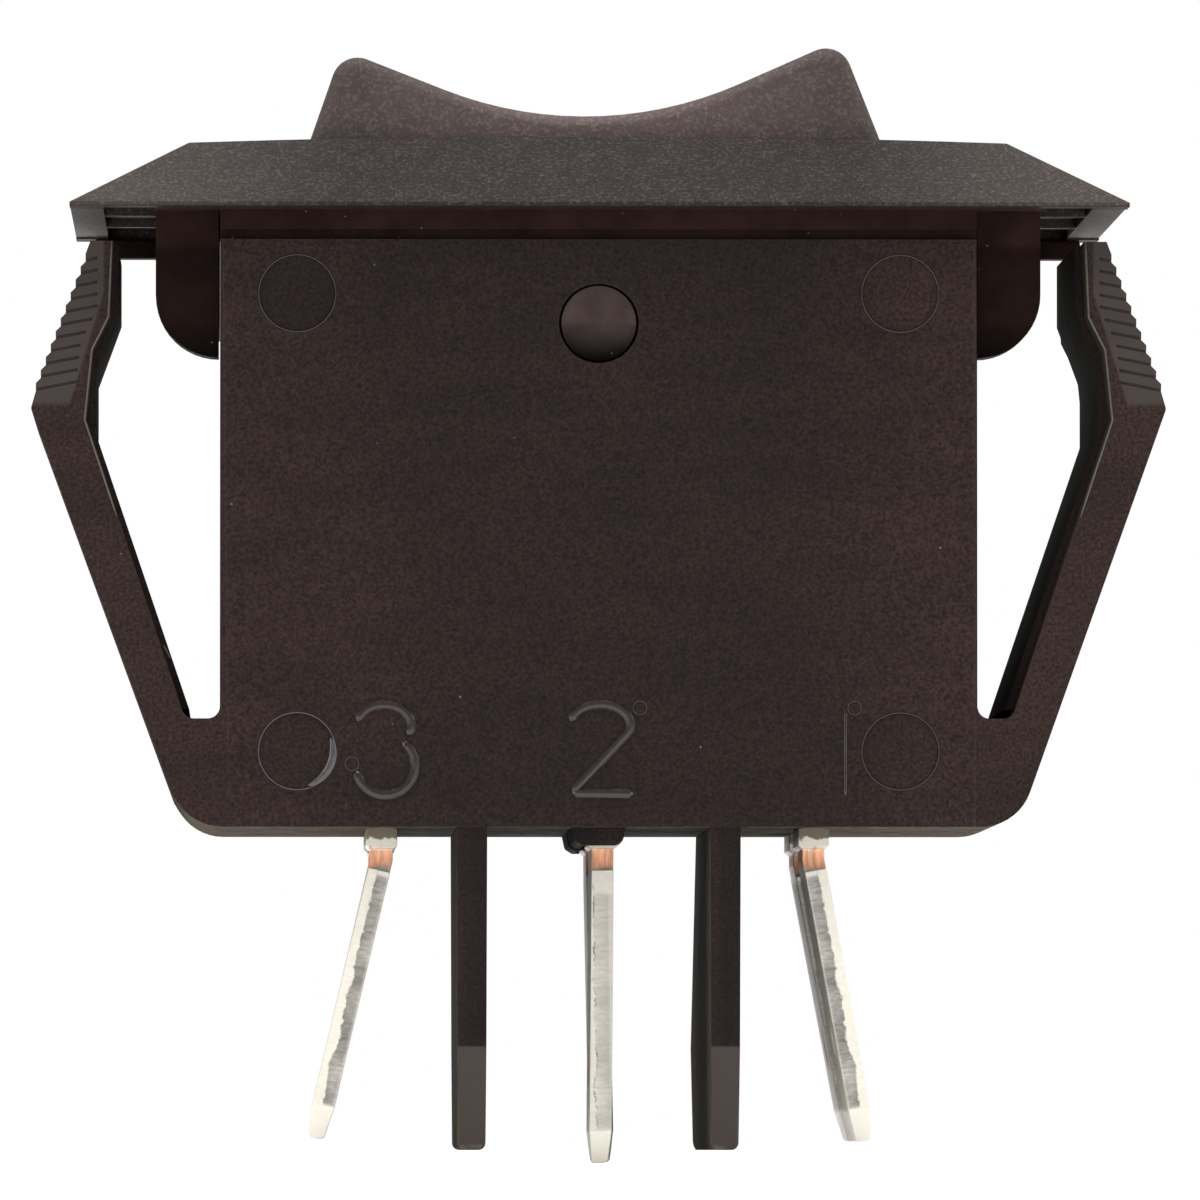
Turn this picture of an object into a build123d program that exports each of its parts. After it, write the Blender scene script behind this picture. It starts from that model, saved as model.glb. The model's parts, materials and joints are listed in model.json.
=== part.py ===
# A snap-in rocker switch for a motor: two poles, two throws, off in the middle, six tab terminals.
#
# Millimetres. X runs along the switch, Y from its front to its back, and Z points up, out of the panel.
# The origin is the centre of the panel cut-out, on the outer face of the panel.
# The switch rests as it is found: the rocker stands a little off its middle position.
from build123d import *
from math import cos, radians, sin, sqrt, tan
import os

# The panel that the switch snaps into
cutout_length = 36.83
cutout_width = 21.08
panel_gap = 0.14

# Bezel
bezel_length = 38.4
bezel_width = 24.8
bezel_rim = 0.16
bezel_shoulder = 2.5
bezel_crown = 0.28
bezel_end_slope = 4.3
bezel_side_slope = 3.5
bezel_edge_radius = 0.35
collar_drop = 0.73
groove_height = 0.36
groove_depth = 0.4
lip_drop = 0.45
lip_wall = 0.9
skirt_drop = 3.9
ear_drop = 5.35
ear_width = 2.0
skirt_gap = 1.37
skirt_setback = 1.1
pocket_depth = 0.4
pocket_wall = 1.2
pocket_rib = 0.7
end_relief = 0.08

# Housing
housing_length = 27.5
housing_bottom = -22.43
housing_wall = 1.2
housing_edge_radius = 0.2
floor_thickness = 1.8
partition_wall = 1.2
partition_top = -8.5
mark_radius = 1.4
mark_depth = 0.06
mark_inset = 2.8
mark_top_margin = 1.97
mark_bottom_margin = 2.74
fit_gap = 0.05

# Snap-in wings
wing_bulge = 2.2
elbow_height = -7.25
wing_foot = 1.46
wing_thickness = 1.5
wing_top = -1.16
wing_top_thickness = 1.0
wing_top_straight = 2.75
wing_top_spread = 0.12
wing_waist_drop = 1.2
wing_waist_spread = 0.6
wing_elbow_thickness = 2.0
wing_elbow_drop = 0.4
wing_inset = 0.07
elbow_flat = 0.45
tooth_pitch = 0.47
tooth_step = 0.18
tooth_count = 11
groove_angle = 11.0
groove_line = 0.11
groove_sink = 0.09
groove_margin = 0.45
throat_height = -18.5
throat_rounding = 0.35
root_radius = 1.9
elbow_radius = 0.25
rib_height = 0.28
rib_top_height = 0.17
rib_elbow_height = 0.3
rib_margin = 3.0
rib_end_gap = 0.4
rib_top_straight = 2.3
rib_bend_drop = 2.3

# Insulating barriers under the housing
barrier_offset = 4.6
barrier_thickness = 1.1
barrier_tip_thickness = 1.02
barrier_bottom = -34.15
barrier_bevel_height = 3.75
barrier_bevel_depth = 1.3
barrier_corner_radius = 0.5

# Rocker, drawn level, then turned about its pivot to where it rests
pivot_height = -4.14
rest_tilt = -1.2
rocker_swing = 12.0
rocker_length = 21.0
rocker_grip = 2.47
rocker_valley = 3.6
rocker_valley_radius = 14.0
rocker_face_slope = 22.6
rocker_end_slope = 20.4
rocker_skirt_length = 22.2
rocker_skirt_bottom = -3.3
rocker_wall = 1.3
rocker_edge_radius = 0.45
horn_radius = 0.95
opening_gap = 0.2
trunnion_radius = 1.36
trunnion_gap = 0.09
trunnion_recess = 0.1
trunnion_bevel = 0.45
boss_radius = 2.3
boss_gap = 0.1
cheek_top = 6.0
cheek_foot = 4.0
cheek_drop = 2.5

# Plungers and springs
tube_radius = 1.9
tube_bottom = -12.0
plunger_radius = 1.15
plunger_gap = 0.1
plunger_seat = -9.2
spring_wire = 0.28
spring_radius = 0.92
spring_turns = 3
spring_seat_gap = 0.03
tip_gap = 0.05

# Contact bars, drawn level, then turned about their fulcrum to where they rest
shoulder_gap = 0.3
fulcrum_height = -16.0
bar_ratio = 0.5
bar_length = 22.4
bar_width = 4.2
bar_thickness = 0.6
bar_arm_height = 0.75
bar_neck_length = 1.8
bar_neck_width = 2.2
bar_corner_radius = 1.2
contact_offset = 9.4
contact_gap = 0.05
contact_flat = 1.0
contact_bevel = 0.2
moving_contact_radius = 1.5
moving_contact_height = 0.7
fixed_contact_radius = 1.6
fixed_contact_height = 0.8

# Terminals
terminal_pitch = 7.86
tab_thickness = 0.8
tab_width = 6.3
slot_gap = 0.05
foot_reach = 3.6
shoulder_width = 7.2
notch_gap = 0.1
notch_floor_gap = 0.05
prong_height = 1.1
swage_thickness = 1.12
swage_height = 0.75
neck_width = 5.3
neck_height = 0.8
tab_length = 10.0
tip_taper = 1.2
tip_thickness = 0.42
tip_corner = 1.1
tab_hole_radius = 0.83
tab_hole_inset = 3.6
bend_radius = 0.5
pad_drop = 0.65
pad_length = 2.0
pad_width = 8.4

# Places that follow from the sizes above
collar_width = cutout_width - 2 * panel_gap
housing_width = collar_width
wing_reach = cutout_length / 2 + wing_bulge
collar_bottom = -collar_drop
housing_top = collar_bottom - groove_height
housing_half = housing_width / 2
inner_half = housing_half - housing_wall
inner_length = housing_length - 2 * housing_wall
floor_top = housing_bottom + floor_thickness
wing_half = housing_half - wing_inset
pole_offset = inner_half - shoulder_gap - shoulder_width / 2
rocker_half = pole_offset + tube_radius
opening_half = rocker_half + opening_gap
bar_tilt = -rest_tilt * bar_ratio
full_bar_tilt = rocker_swing * bar_ratio
grip_rise = rocker_grip - pivot_height


def turned(x, height, angle):
    """A point of the side view, turned about the Y axis, positive with the right end down."""
    turn = radians(angle)
    return (x * cos(turn) + height * sin(turn), height * cos(turn) - x * sin(turn))


# The line of each rocker end, from the grip up to the horn and down to the skirt
end_run = tan(radians(rocker_end_slope))
face_run = tan(radians(rocker_face_slope))
valley_end_x = rocker_valley_radius * sin(radians(rocker_face_slope))
valley_end_rise = rocker_valley_radius * (1 - cos(radians(rocker_face_slope)))
valley_end_z = rocker_valley - pivot_height + valley_end_rise
horn_z = (
    valley_end_z + face_run * (rocker_length / 2 + end_run * grip_rise - valley_end_x)
) / (1 + face_run * end_run)
horn_x = rocker_length / 2 - end_run * (horn_z - grip_rise)
skirt_x = rocker_skirt_length / 2
skirt_corner_z = grip_rise - (skirt_x - rocker_length / 2) / end_run
skirt_bottom_z = rocker_skirt_bottom - pivot_height

# The bezel's opening clears the rocker's ends at full swing
pressed_grip = turned(rocker_length / 2, grip_rise, rocker_swing)
pressed_skirt = turned(skirt_x, skirt_corner_z, rocker_swing)
pressed_run = tan(radians(rocker_end_slope - rocker_swing))
pressed_top_x = pressed_grip[0] - pressed_run * (bezel_shoulder - pivot_height - pressed_grip[1])
opening_top_half = pressed_top_x + opening_gap
opening_bottom_half = max(pressed_grip[0], pressed_skirt[0]) + opening_gap

# Levels of the contacts: a moving contact meets a fixed one when its bar is fully tipped
face_level = bar_arm_height - moving_contact_height
closed_x = turned(contact_offset, face_level, full_bar_tilt)[0]
closed_drop = turned(contact_offset + contact_flat, face_level, full_bar_tilt)[1]
fixed_contact_top = fulcrum_height + closed_drop - contact_gap
foot_top = fixed_contact_top - fixed_contact_height
ledge_top = foot_top - tab_thickness
ledge_start = terminal_pitch - tab_thickness / 2 - housing_wall / 2

# Side views: of the level switch, of the resting rocker and of the resting contact bars
side = Plane.XZ
rocker_side = Plane(
    origin=(0, 0, pivot_height),
    x_dir=(cos(radians(rest_tilt)), 0, -sin(radians(rest_tilt))),
    z_dir=(0, -1, 0),
)
bar_side = Plane(
    origin=(0, 0, fulcrum_height),
    x_dir=(cos(radians(bar_tilt)), 0, -sin(radians(bar_tilt))),
    z_dir=(0, -1, 0),
)


def across(view, y, height=0.0):
    """A plan plane of a side view, at a distance y towards the back and a height in that view."""
    middle = view.from_local_coords(Vector(0, height, 0)) + Vector(0, y, 0)
    return Plane(origin=middle, x_dir=view.x_dir, z_dir=view.y_dir)


def inner_x_at(height):
    """How far out the wing's inner face is at a height above its elbow."""
    if height > inner_shoulder[1]:
        return inner_shoulder[0]
    upper, lower = inner_shoulder, inner_waist
    if height < inner_waist[1]:
        upper, lower = inner_waist, inner_elbow
    return lower[0] + (upper[0] - lower[0]) * (height - lower[1]) / (upper[1] - lower[1])


os.makedirs("parts", exist_ok=True)

# Housing. Its floor is stepped: the outer terminals' feet lie on high ledges at both ends.
end_x = housing_length / 2
wing_foot_x = end_x + wing_foot
outer_run = (wing_reach - wing_foot_x) / (elbow_height - housing_bottom)
wing_across = wing_thickness * sqrt(1 + outer_run**2)
throat_x = wing_reach - wing_across - outer_run * (elbow_height - throat_height)
throat_radius = throat_rounding * (throat_x - end_x)
tooth_rise = tooth_pitch - tooth_step
tooth_points = []
for tooth in range(tooth_count):
    foot_x = wing_reach - tooth * tooth_step
    foot_z = elbow_height + elbow_flat + tooth * tooth_pitch
    tooth_points.append((foot_x - tooth_step, foot_z + tooth_step))
    tooth_points.append((foot_x - tooth_step, foot_z + tooth_step + tooth_rise))
last_tooth_x = wing_reach - tooth_count * tooth_step
inner_elbow = (wing_reach - wing_elbow_thickness, elbow_height - wing_elbow_drop)
inner_top_x = last_tooth_x - wing_top_thickness
inner_shoulder = (inner_top_x + wing_top_spread, wing_top - wing_top_straight)
inner_waist = (inner_shoulder[0] + wing_waist_spread, inner_shoulder[1] - wing_waist_drop)
rib_face_x = inner_elbow[0] - rib_elbow_height
rib_top = (inner_top_x - rib_top_height, wing_top)
rib_bend = (rib_top[0], wing_top - rib_top_straight)
rib_waist = (rib_face_x, rib_bend[1] - rib_bend_drop)
root_x = end_x - housing_wall / 2
arm_run = (inner_elbow[0] - throat_x) / (inner_elbow[1] - throat_height)
rib_foot_z = throat_height + rib_end_gap
rib_foot_x = throat_x + arm_run * rib_end_gap

with BuildPart() as housing:
    with BuildSketch(Plane.XY.offset(housing_bottom)):
        Rectangle(housing_length, housing_width)
    extrude(amount=housing_top - housing_bottom)
    fillet(housing.edges().filter_by(Axis.Z), housing_edge_radius)

    # A common chamber at the top, and below it one stepped chamber for each pole
    with BuildSketch(Plane.XY.offset(partition_top)):
        Rectangle(inner_length, 2 * inner_half)
    extrude(amount=housing_top - partition_top, mode=Mode.SUBTRACT)
    chamber_width = inner_half - partition_wall / 2
    for way in (-1, 1):
        chamber_start = partition_wall / 2 if way > 0 else -inner_half
        with BuildSketch(Plane.XZ.offset(-chamber_start)):
            with BuildLine():
                Polyline(
                    (-ledge_start, floor_top),
                    (ledge_start, floor_top),
                    (ledge_start, ledge_top),
                    (inner_length / 2, ledge_top),
                    (inner_length / 2, partition_top),
                    (-inner_length / 2, partition_top),
                    (-inner_length / 2, ledge_top),
                    (-ledge_start, ledge_top),
                    close=True,
                )
            make_face()
        extrude(amount=-chamber_width, mode=Mode.SUBTRACT)

    # Snap-in wings: one serrated spring arm at each end, rooted at the bottom
    with BuildSketch(side) as wings:
        with BuildLine():
            RadiusArc(
                (end_x, throat_height + throat_radius),
                (end_x + throat_radius, throat_height),
                -throat_radius,
            )
            Polyline(
                (end_x + throat_radius, throat_height),
                (throat_x, throat_height),
                inner_elbow,
                inner_waist,
                inner_shoulder,
                (inner_top_x, wing_top),
                (last_tooth_x - tooth_step, wing_top),
                *reversed(tooth_points),
                (wing_reach, elbow_height),
                (wing_foot_x, housing_bottom),
                (root_x, housing_bottom),
                (root_x, throat_height + throat_radius),
                (end_x, throat_height + throat_radius),
            )
        make_face()
        for corner, radius in (
            ((throat_x, throat_height), throat_radius),
            ((wing_foot_x, housing_bottom), root_radius),
            ((wing_reach, elbow_height), elbow_radius),
        ):
            fillet(wings.vertices().sort_by_distance(corner)[0], radius)
        mirror(about=Plane.YZ)
    extrude(amount=wing_half, both=True)

    # A flat rib stiffens each wing along its inner face
    with BuildSketch(side) as ribs:
        with BuildLine():
            Polyline(
                (rib_foot_x, rib_foot_z),
                inner_elbow,
                inner_waist,
                inner_shoulder,
                (inner_top_x, wing_top),
                rib_top,
                rib_bend,
                rib_waist,
                (rib_face_x, inner_elbow[1] - rib_elbow_height),
                (rib_foot_x - rib_height, rib_foot_z),
                close=True,
            )
        make_face()
        mirror(about=Plane.YZ)
    extrude(amount=wing_half - rib_margin, both=True)

    # From each notch between two teeth a fine groove climbs across the front and the back of the wing
    groove_rise = tan(radians(groove_angle))
    for face in (Plane.XZ.offset(wing_half - groove_sink), Plane.XZ.offset(-wing_half)):
        with BuildSketch(face):
            for notch_x, notch_z in tooth_points[0::2]:
                groove_end = max(inner_top_x, inner_x_at(notch_z)) + groove_margin
                groove_top = notch_z + groove_rise * (notch_x - groove_end)
                with BuildLine():
                    Polyline(
                        (notch_x + tooth_step, notch_z - groove_rise * tooth_step),
                        (groove_end, groove_top),
                        (groove_end, groove_top + groove_line),
                        (notch_x + tooth_step, notch_z - groove_rise * tooth_step + groove_line),
                        close=True,
                    )
                make_face()
            mirror(about=Plane.YZ)
        extrude(amount=groove_sink, mode=Mode.SUBTRACT)

    # Barriers between the terminals, thinner and bevelled towards their tips
    with BuildSketch(side):
        for way in (-1, 1):
            with BuildLine():
                Polyline(
                    (way * barrier_offset - barrier_thickness / 2, housing_bottom),
                    (way * barrier_offset + barrier_thickness / 2, housing_bottom),
                    (way * barrier_offset + barrier_tip_thickness / 2, barrier_bottom),
                    (way * barrier_offset - barrier_tip_thickness / 2, barrier_bottom),
                    close=True,
                )
            make_face()
    extrude(amount=wing_half, both=True)
    barrier_reach = barrier_offset + barrier_thickness
    with BuildSketch(Plane.YZ):
        for way in (-1, 1):
            with BuildLine():
                Polyline(
                    (way * wing_half, barrier_bottom + barrier_bevel_height),
                    (way * (wing_half - barrier_bevel_depth), barrier_bottom),
                    (way * wing_half, barrier_bottom),
                    close=True,
                )
            make_face()
    extrude(amount=barrier_reach, both=True, mode=Mode.SUBTRACT)
    tip_edges = housing.edges().filter_by(Axis.X).group_by(Axis.Z)[0]
    fillet(tip_edges, barrier_corner_radius)

    # Slots for the terminals
    slot_thickness = tab_thickness + 2 * slot_gap
    slot_width = tab_width + 2 * slot_gap
    with BuildSketch(Plane.XY.offset(housing_bottom)):
        with GridLocations(terminal_pitch, 2 * pole_offset, 3, 2):
            Rectangle(slot_thickness, slot_width)
    extrude(amount=ledge_top - housing_bottom, mode=Mode.SUBTRACT)

    # A collar under the floor surrounds the swage of each middle terminal
    with BuildSketch(Plane.XY.offset(housing_bottom)):
        with Locations((0, -pole_offset), (0, pole_offset)):
            Rectangle(pad_length, pad_width)
            Rectangle(swage_thickness + 2 * slot_gap, slot_width, mode=Mode.SUBTRACT)
    extrude(amount=-pad_drop)

    # Pivot holes for the rocker's trunnions
    with BuildSketch(side):
        with Locations((0, pivot_height)):
            Circle(trunnion_radius + trunnion_gap)
    extrude(amount=housing_half, both=True, mode=Mode.SUBTRACT)

    # Shallow ejector marks near the corners of the front wall
    mark_x = end_x - mark_inset
    high_mark = housing_top - mark_top_margin
    low_mark = housing_bottom + mark_bottom_margin
    with BuildSketch(Plane.XZ.offset(housing_half)):
        with Locations((0, (high_mark + low_mark) / 2)):
            with GridLocations(2 * mark_x, high_mark - low_mark, 2, 2):
                Circle(mark_radius)
    extrude(amount=-mark_depth, mode=Mode.SUBTRACT)

housing.part.label = "housing"
export_step(housing.part, "parts/housing.step")

# Bezel: a bevelled flange with a crowned top, a collar that fills the cut-out and a skirt at each end
crown_top = bezel_shoulder + bezel_crown
slope_growth = (crown_top - bezel_rim) / (bezel_shoulder - bezel_rim)
flange_top_length = bezel_length - 2 * bezel_end_slope * slope_growth
flange_top_width = bezel_width - 2 * bezel_side_slope * slope_growth
shoulder_x = bezel_length / 2 - bezel_end_slope
skirt_start = end_x + fit_gap
skirt_thickness = rib_top[0] - skirt_gap - skirt_start
skirt_half = housing_half - skirt_setback

with BuildPart() as bezel:
    with BuildSketch(Plane.XY):
        Rectangle(bezel_length, bezel_width)
    extrude(amount=bezel_rim)
    with BuildSketch(Plane.XY.offset(bezel_rim)):
        Rectangle(bezel_length, bezel_width)
    with BuildSketch(Plane.XY.offset(crown_top)):
        Rectangle(flange_top_length, flange_top_width)
    loft()

    # The crown: the top falls along an arc from the middle to the shoulders
    with BuildSketch(side):
        with BuildLine():
            crown = ThreePointArc((-shoulder_x, bezel_shoulder), (0, crown_top), (shoulder_x, bezel_shoulder))
            Polyline(
                crown @ 1,
                (bezel_length / 2, bezel_shoulder),
                (bezel_length / 2, 2 * crown_top),
                (-bezel_length / 2, 2 * crown_top),
                (-bezel_length / 2, bezel_shoulder),
                crown @ 0,
            )
        make_face()
    extrude(amount=bezel_width / 2, both=True, mode=Mode.SUBTRACT)
    rim_edges = bezel.edges().filter_by(lambda edge: edge.center().Z > 2 * bezel_rim)
    fillet(rim_edges, bezel_edge_radius)

    # Collar, groove and locating lip
    with BuildSketch(Plane.XY):
        Rectangle(housing_length, collar_width)
    extrude(amount=-collar_drop)
    with BuildSketch(Plane.XY.offset(collar_bottom)):
        Rectangle(housing_length, collar_width - 2 * groove_depth)
    extrude(amount=-groove_height)
    with BuildSketch(Plane.XY.offset(housing_top)):
        Rectangle(inner_length - 2 * fit_gap, 2 * (inner_half - fit_gap))
    extrude(amount=-lip_drop)

    # Skirts behind the wings, with a quarter-round foot, and a deeper ear at the front of each
    skirt_end = skirt_start + skirt_thickness
    for drop, first, last in (
        (skirt_drop, -skirt_half, skirt_half),
        (ear_drop, -skirt_half, ear_width - skirt_half),
    ):
        foot_start = skirt_thickness - drop
        with BuildSketch(Plane.XZ.offset(-last)):
            with BuildLine():
                Line((skirt_start, 0), (skirt_start, -drop))
                RadiusArc((skirt_start, -drop), (skirt_end, foot_start), -skirt_thickness)
                Line((skirt_end, foot_start), (skirt_end, 0))
                Line((skirt_end, 0), (skirt_start, 0))
            make_face()
            mirror(about=Plane.YZ)
        extrude(amount=last - first)

    # Three shallow pockets under each end of the flange
    pocket_start = skirt_end
    pocket_length = bezel_length / 2 - pocket_wall - pocket_start
    pocket_width = (bezel_width - 2 * pocket_wall - 2 * pocket_rib) / 3
    with BuildSketch(Plane.XY):
        for way in (-1, 1):
            with Locations((way * (pocket_start + pocket_length / 2), 0)):
                with GridLocations(pocket_length, pocket_width + pocket_rib, 1, 3):
                    Rectangle(pocket_length, pocket_width)
    extrude(amount=pocket_depth, mode=Mode.SUBTRACT)

    # The ends of the flange stand clear of the panel, so that the two long rims seat on it
    relief_length = bezel_length / 2 - pocket_start
    with BuildSketch(Plane.XY):
        with GridLocations(bezel_length - relief_length, 1, 2, 1):
            Rectangle(relief_length, collar_width)
    extrude(amount=end_relief, mode=Mode.SUBTRACT)

    # The opening, wider towards the bottom at its ends, where the rocker swings out
    with BuildSketch(side):
        with BuildLine():
            Polyline(
                (-opening_top_half, 2 * crown_top),
                (opening_top_half, 2 * crown_top),
                (opening_top_half, bezel_shoulder),
                (opening_bottom_half, 0),
                (opening_bottom_half, housing_top - 2 * lip_drop),
                (-opening_bottom_half, housing_top - 2 * lip_drop),
                (-opening_bottom_half, 0),
                (-opening_top_half, bezel_shoulder),
                close=True,
            )
        make_face()
    extrude(amount=opening_half, both=True, mode=Mode.SUBTRACT)
    with BuildSketch(Plane.XY.offset(housing_top)):
        Rectangle(2 * opening_bottom_half, 2 * (inner_half - fit_gap - lip_wall))
    extrude(amount=-lip_drop, mode=Mode.SUBTRACT)

bezel.part.label = "bezel"
export_step(bezel.part, "parts/bezel.step")

# Rocker: a hollow cap with two finger pads, hung on two trunnions, and a tube for each plunger
tube_length = pivot_height - tube_bottom
bore_radius = plunger_radius + plunger_gap
cheek_half = rocker_half - rocker_wall
bore_top = rocker_valley - pivot_height - rocker_wall
trunnion_end = housing_half - trunnion_recess

with BuildPart() as rocker:
    with BuildSketch(rocker_side) as cap:
        with BuildLine():
            valley = ThreePointArc(
                (-valley_end_x, valley_end_z),
                (0, rocker_valley - pivot_height),
                (valley_end_x, valley_end_z),
            )
            Polyline(
                valley @ 1,
                (horn_x, horn_z),
                (skirt_x, skirt_corner_z),
                (skirt_x, skirt_bottom_z),
                (-skirt_x, skirt_bottom_z),
                (-skirt_x, skirt_corner_z),
                (-horn_x, horn_z),
                valley @ 0,
            )
        make_face()
        horns = cap.vertices().group_by(Axis.Y)[-1]
        fillet(horns, horn_radius)
    extrude(amount=rocker_half, both=True)
    upper_edges = rocker.edges().filter_by(
        lambda edge: abs(edge.center().Y) > rocker_half - fit_gap and edge.center().Z > rocker_skirt_bottom + 1
    )
    fillet(upper_edges, rocker_edge_radius)

    # Hollow below the cap
    with BuildSketch(rocker_side) as hollow:
        add(cap.sketch_local)
        offset(amount=-rocker_wall, kind=Kind.INTERSECTION)
        with Locations((0, skirt_bottom_z)):
            Rectangle(rocker_skirt_length - 2 * rocker_wall, 4 * rocker_wall)
    extrude(amount=cheek_half, both=True, mode=Mode.SUBTRACT)

    # Cheeks that carry the trunnions, with bosses that run along the housing's walls
    for way in (-1, 1):
        with BuildSketch(rocker_side.offset(-way * cheek_half)):
            with BuildLine():
                Polyline(
                    (-cheek_top / 2, skirt_bottom_z + rocker_wall),
                    (cheek_top / 2, skirt_bottom_z + rocker_wall),
                    (cheek_foot / 2, -cheek_drop),
                    (-cheek_foot / 2, -cheek_drop),
                    close=True,
                )
            make_face()
        extrude(amount=-way * rocker_wall)
        with BuildSketch(rocker_side.offset(-way * rocker_half)):
            Circle(boss_radius)
        extrude(amount=-way * (inner_half - boss_gap - rocker_half))
        with BuildSketch(rocker_side.offset(-way * rocker_half)):
            Circle(trunnion_radius)
        extrude(amount=-way * (trunnion_end - rocker_half))

    # The lower half of each trunnion's end is bevelled, to ride in over the housing's edge
    for way in (-1, 1):
        with BuildSketch(Plane(origin=rocker_side.origin, x_dir=(0, 1, 0), z_dir=rocker_side.x_dir)):
            with BuildLine():
                Polyline(
                    (way * trunnion_end, 0),
                    (way * (trunnion_end - trunnion_bevel), -trunnion_radius),
                    (way * trunnion_end, -trunnion_radius),
                    close=True,
                )
            make_face()
        extrude(amount=trunnion_radius, both=True, mode=Mode.SUBTRACT)

    # Tubes for the plungers
    for way in (-1, 1):
        with BuildSketch(across(rocker_side, way * pole_offset, -tube_length)):
            Circle(tube_radius)
        extrude(amount=tube_length + bore_top + rocker_wall / 2)
        with BuildSketch(across(rocker_side, way * pole_offset, -tube_length)):
            Circle(bore_radius)
        extrude(amount=tube_length + bore_top, mode=Mode.SUBTRACT)

rocker.part.label = "rocker"
export_step(rocker.part, "parts/rocker.step")

# Plungers and their springs, one pair for each pole
poles = {"front": -pole_offset, "back": pole_offset}
tip_height = fulcrum_height + bar_thickness + tip_gap - pivot_height
seat_height = plunger_seat - pivot_height
spring_base = seat_height + spring_wire / 2 + spring_seat_gap
spring_length = bore_top - spring_seat_gap - spring_wire / 2 - spring_base

for pole, y in poles.items():
    pole_side = rocker_side.offset(-y)
    with BuildPart() as plunger:
        with BuildSketch(pole_side):
            with BuildLine():
                nose = ThreePointArc(
                    (0, tip_height),
                    (
                        plunger_radius * sin(radians(45)),
                        tip_height + plunger_radius * (1 - cos(radians(45))),
                    ),
                    (plunger_radius, tip_height + plunger_radius),
                )
                Polyline(nose @ 1, (plunger_radius, seat_height), (0, seat_height), nose @ 0)
            make_face()
        revolve(axis=Axis(pole_side.origin, pole_side.y_dir))
    plunger.part.label = "plunger_" + pole
    export_step(plunger.part, "parts/plunger_" + pole + ".step")

    with BuildPart() as spring:
        coil_start = across(rocker_side, y, spring_base)
        with BuildLine(coil_start):
            coil = Helix(spring_length / spring_turns, spring_length, spring_radius)
        with BuildSketch(Plane(origin=coil @ 0, x_dir=coil_start.x_dir, z_dir=coil % 0)):
            Rectangle(spring_wire, spring_wire)
        sweep(path=coil, is_frenet=True)
    spring.part.label = "spring_" + pole
    export_step(spring.part, "parts/spring_" + pole + ".step")

# Contact bars: each sits in the notch of a middle terminal and is dished where the plunger slides.
# The dish follows the path of the plunger's nose, seen from the bar as it tips.
nose_reach = fulcrum_height + bar_thickness + tip_gap + plunger_radius
nose_arm = pivot_height - nose_reach
fulcrum_arm = pivot_height - fulcrum_height
path_slide = (1 + bar_ratio) * nose_arm - bar_ratio * fulcrum_arm
path_rise = ((1 + bar_ratio) ** 2 * nose_arm - bar_ratio**2 * fulcrum_arm) / 2
path_radius = path_slide**2 / (2 * path_rise)
dish_radius = path_radius + plunger_radius + tip_gap
under_radius = dish_radius + bar_thickness
arm_top = bar_arm_height + bar_thickness
dish_half = sqrt(dish_radius**2 - (dish_radius - bar_arm_height) ** 2)
under_half = sqrt(under_radius**2 - (under_radius - bar_arm_height) ** 2)
bar_half = bar_length / 2

for pole, y in poles.items():
    pole_side = bar_side.offset(-y)
    with BuildPart() as bar:
        with BuildSketch(pole_side):
            with BuildLine():
                under = ThreePointArc((-under_half, bar_arm_height), (0, 0), (under_half, bar_arm_height))
                dish = ThreePointArc((dish_half, arm_top), (0, bar_thickness), (-dish_half, arm_top))
                Polyline(under @ 1, (bar_half, bar_arm_height), (bar_half, arm_top), dish @ 0)
                Polyline(dish @ 1, (-bar_half, arm_top), (-bar_half, bar_arm_height), under @ 0)
            make_face()
        extrude(amount=bar_width / 2, both=True)
        end_edges = bar.edges().filter_by(
            lambda edge: abs(edge.length - bar_thickness) < fit_gap and abs(edge.center().X) > contact_offset
        )
        fillet(end_edges, bar_corner_radius)

        # The neck that drops between the terminal's prongs
        neck_cut = (bar_width - bar_neck_width) / 2
        with BuildSketch(across(bar_side, y)):
            with GridLocations(bar_neck_length, bar_width - neck_cut, 1, 2):
                Rectangle(bar_neck_length, neck_cut)
        extrude(amount=arm_top, mode=Mode.SUBTRACT)
    bar.part.label = "contact_bar_" + pole
    export_step(bar.part, "parts/contact_bar_" + pole + ".step")

    # A contact button is welded under each end of the bar
    for end, way in {"left": -1, "right": 1}.items():
        button_middle = pole_side.from_local_coords((way * contact_offset, 0, 0))
        button_side = Plane(origin=button_middle, x_dir=pole_side.x_dir, z_dir=pole_side.z_dir)
        with BuildPart() as moving_contact:
            with BuildSketch(button_side):
                with BuildLine():
                    Polyline(
                        (0, face_level),
                        (contact_flat, face_level),
                        (moving_contact_radius, face_level + contact_bevel),
                        (moving_contact_radius, bar_arm_height),
                        (0, bar_arm_height),
                        close=True,
                    )
                make_face()
            revolve(axis=Axis(button_side.origin, button_side.y_dir))
        moving_contact.part.label = "moving_contact_" + pole + "_" + end
        export_step(moving_contact.part, "parts/moving_contact_" + pole + "_" + end + ".step")

# Fixed contact buttons, welded on the feet of the outer terminals
for pole, y in poles.items():
    for end, way in {"left": -1, "right": 1}.items():
        button_side = Plane(origin=(way * closed_x, y, foot_top), x_dir=(1, 0, 0), z_dir=(0, -1, 0))
        with BuildPart() as fixed_contact:
            with BuildSketch(button_side):
                with BuildLine():
                    Polyline(
                        (0, 0),
                        (fixed_contact_radius, 0),
                        (fixed_contact_radius, fixed_contact_height - contact_bevel),
                        (fixed_contact_radius - contact_bevel, fixed_contact_height),
                        (0, fixed_contact_height),
                        close=True,
                    )
                make_face()
            revolve(axis=Axis(button_side.origin, button_side.y_dir))
        fixed_contact.part.label = "fixed_contact_" + pole + "_" + end
        export_step(fixed_contact.part, "parts/fixed_contact_" + pole + "_" + end + ".step")

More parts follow.
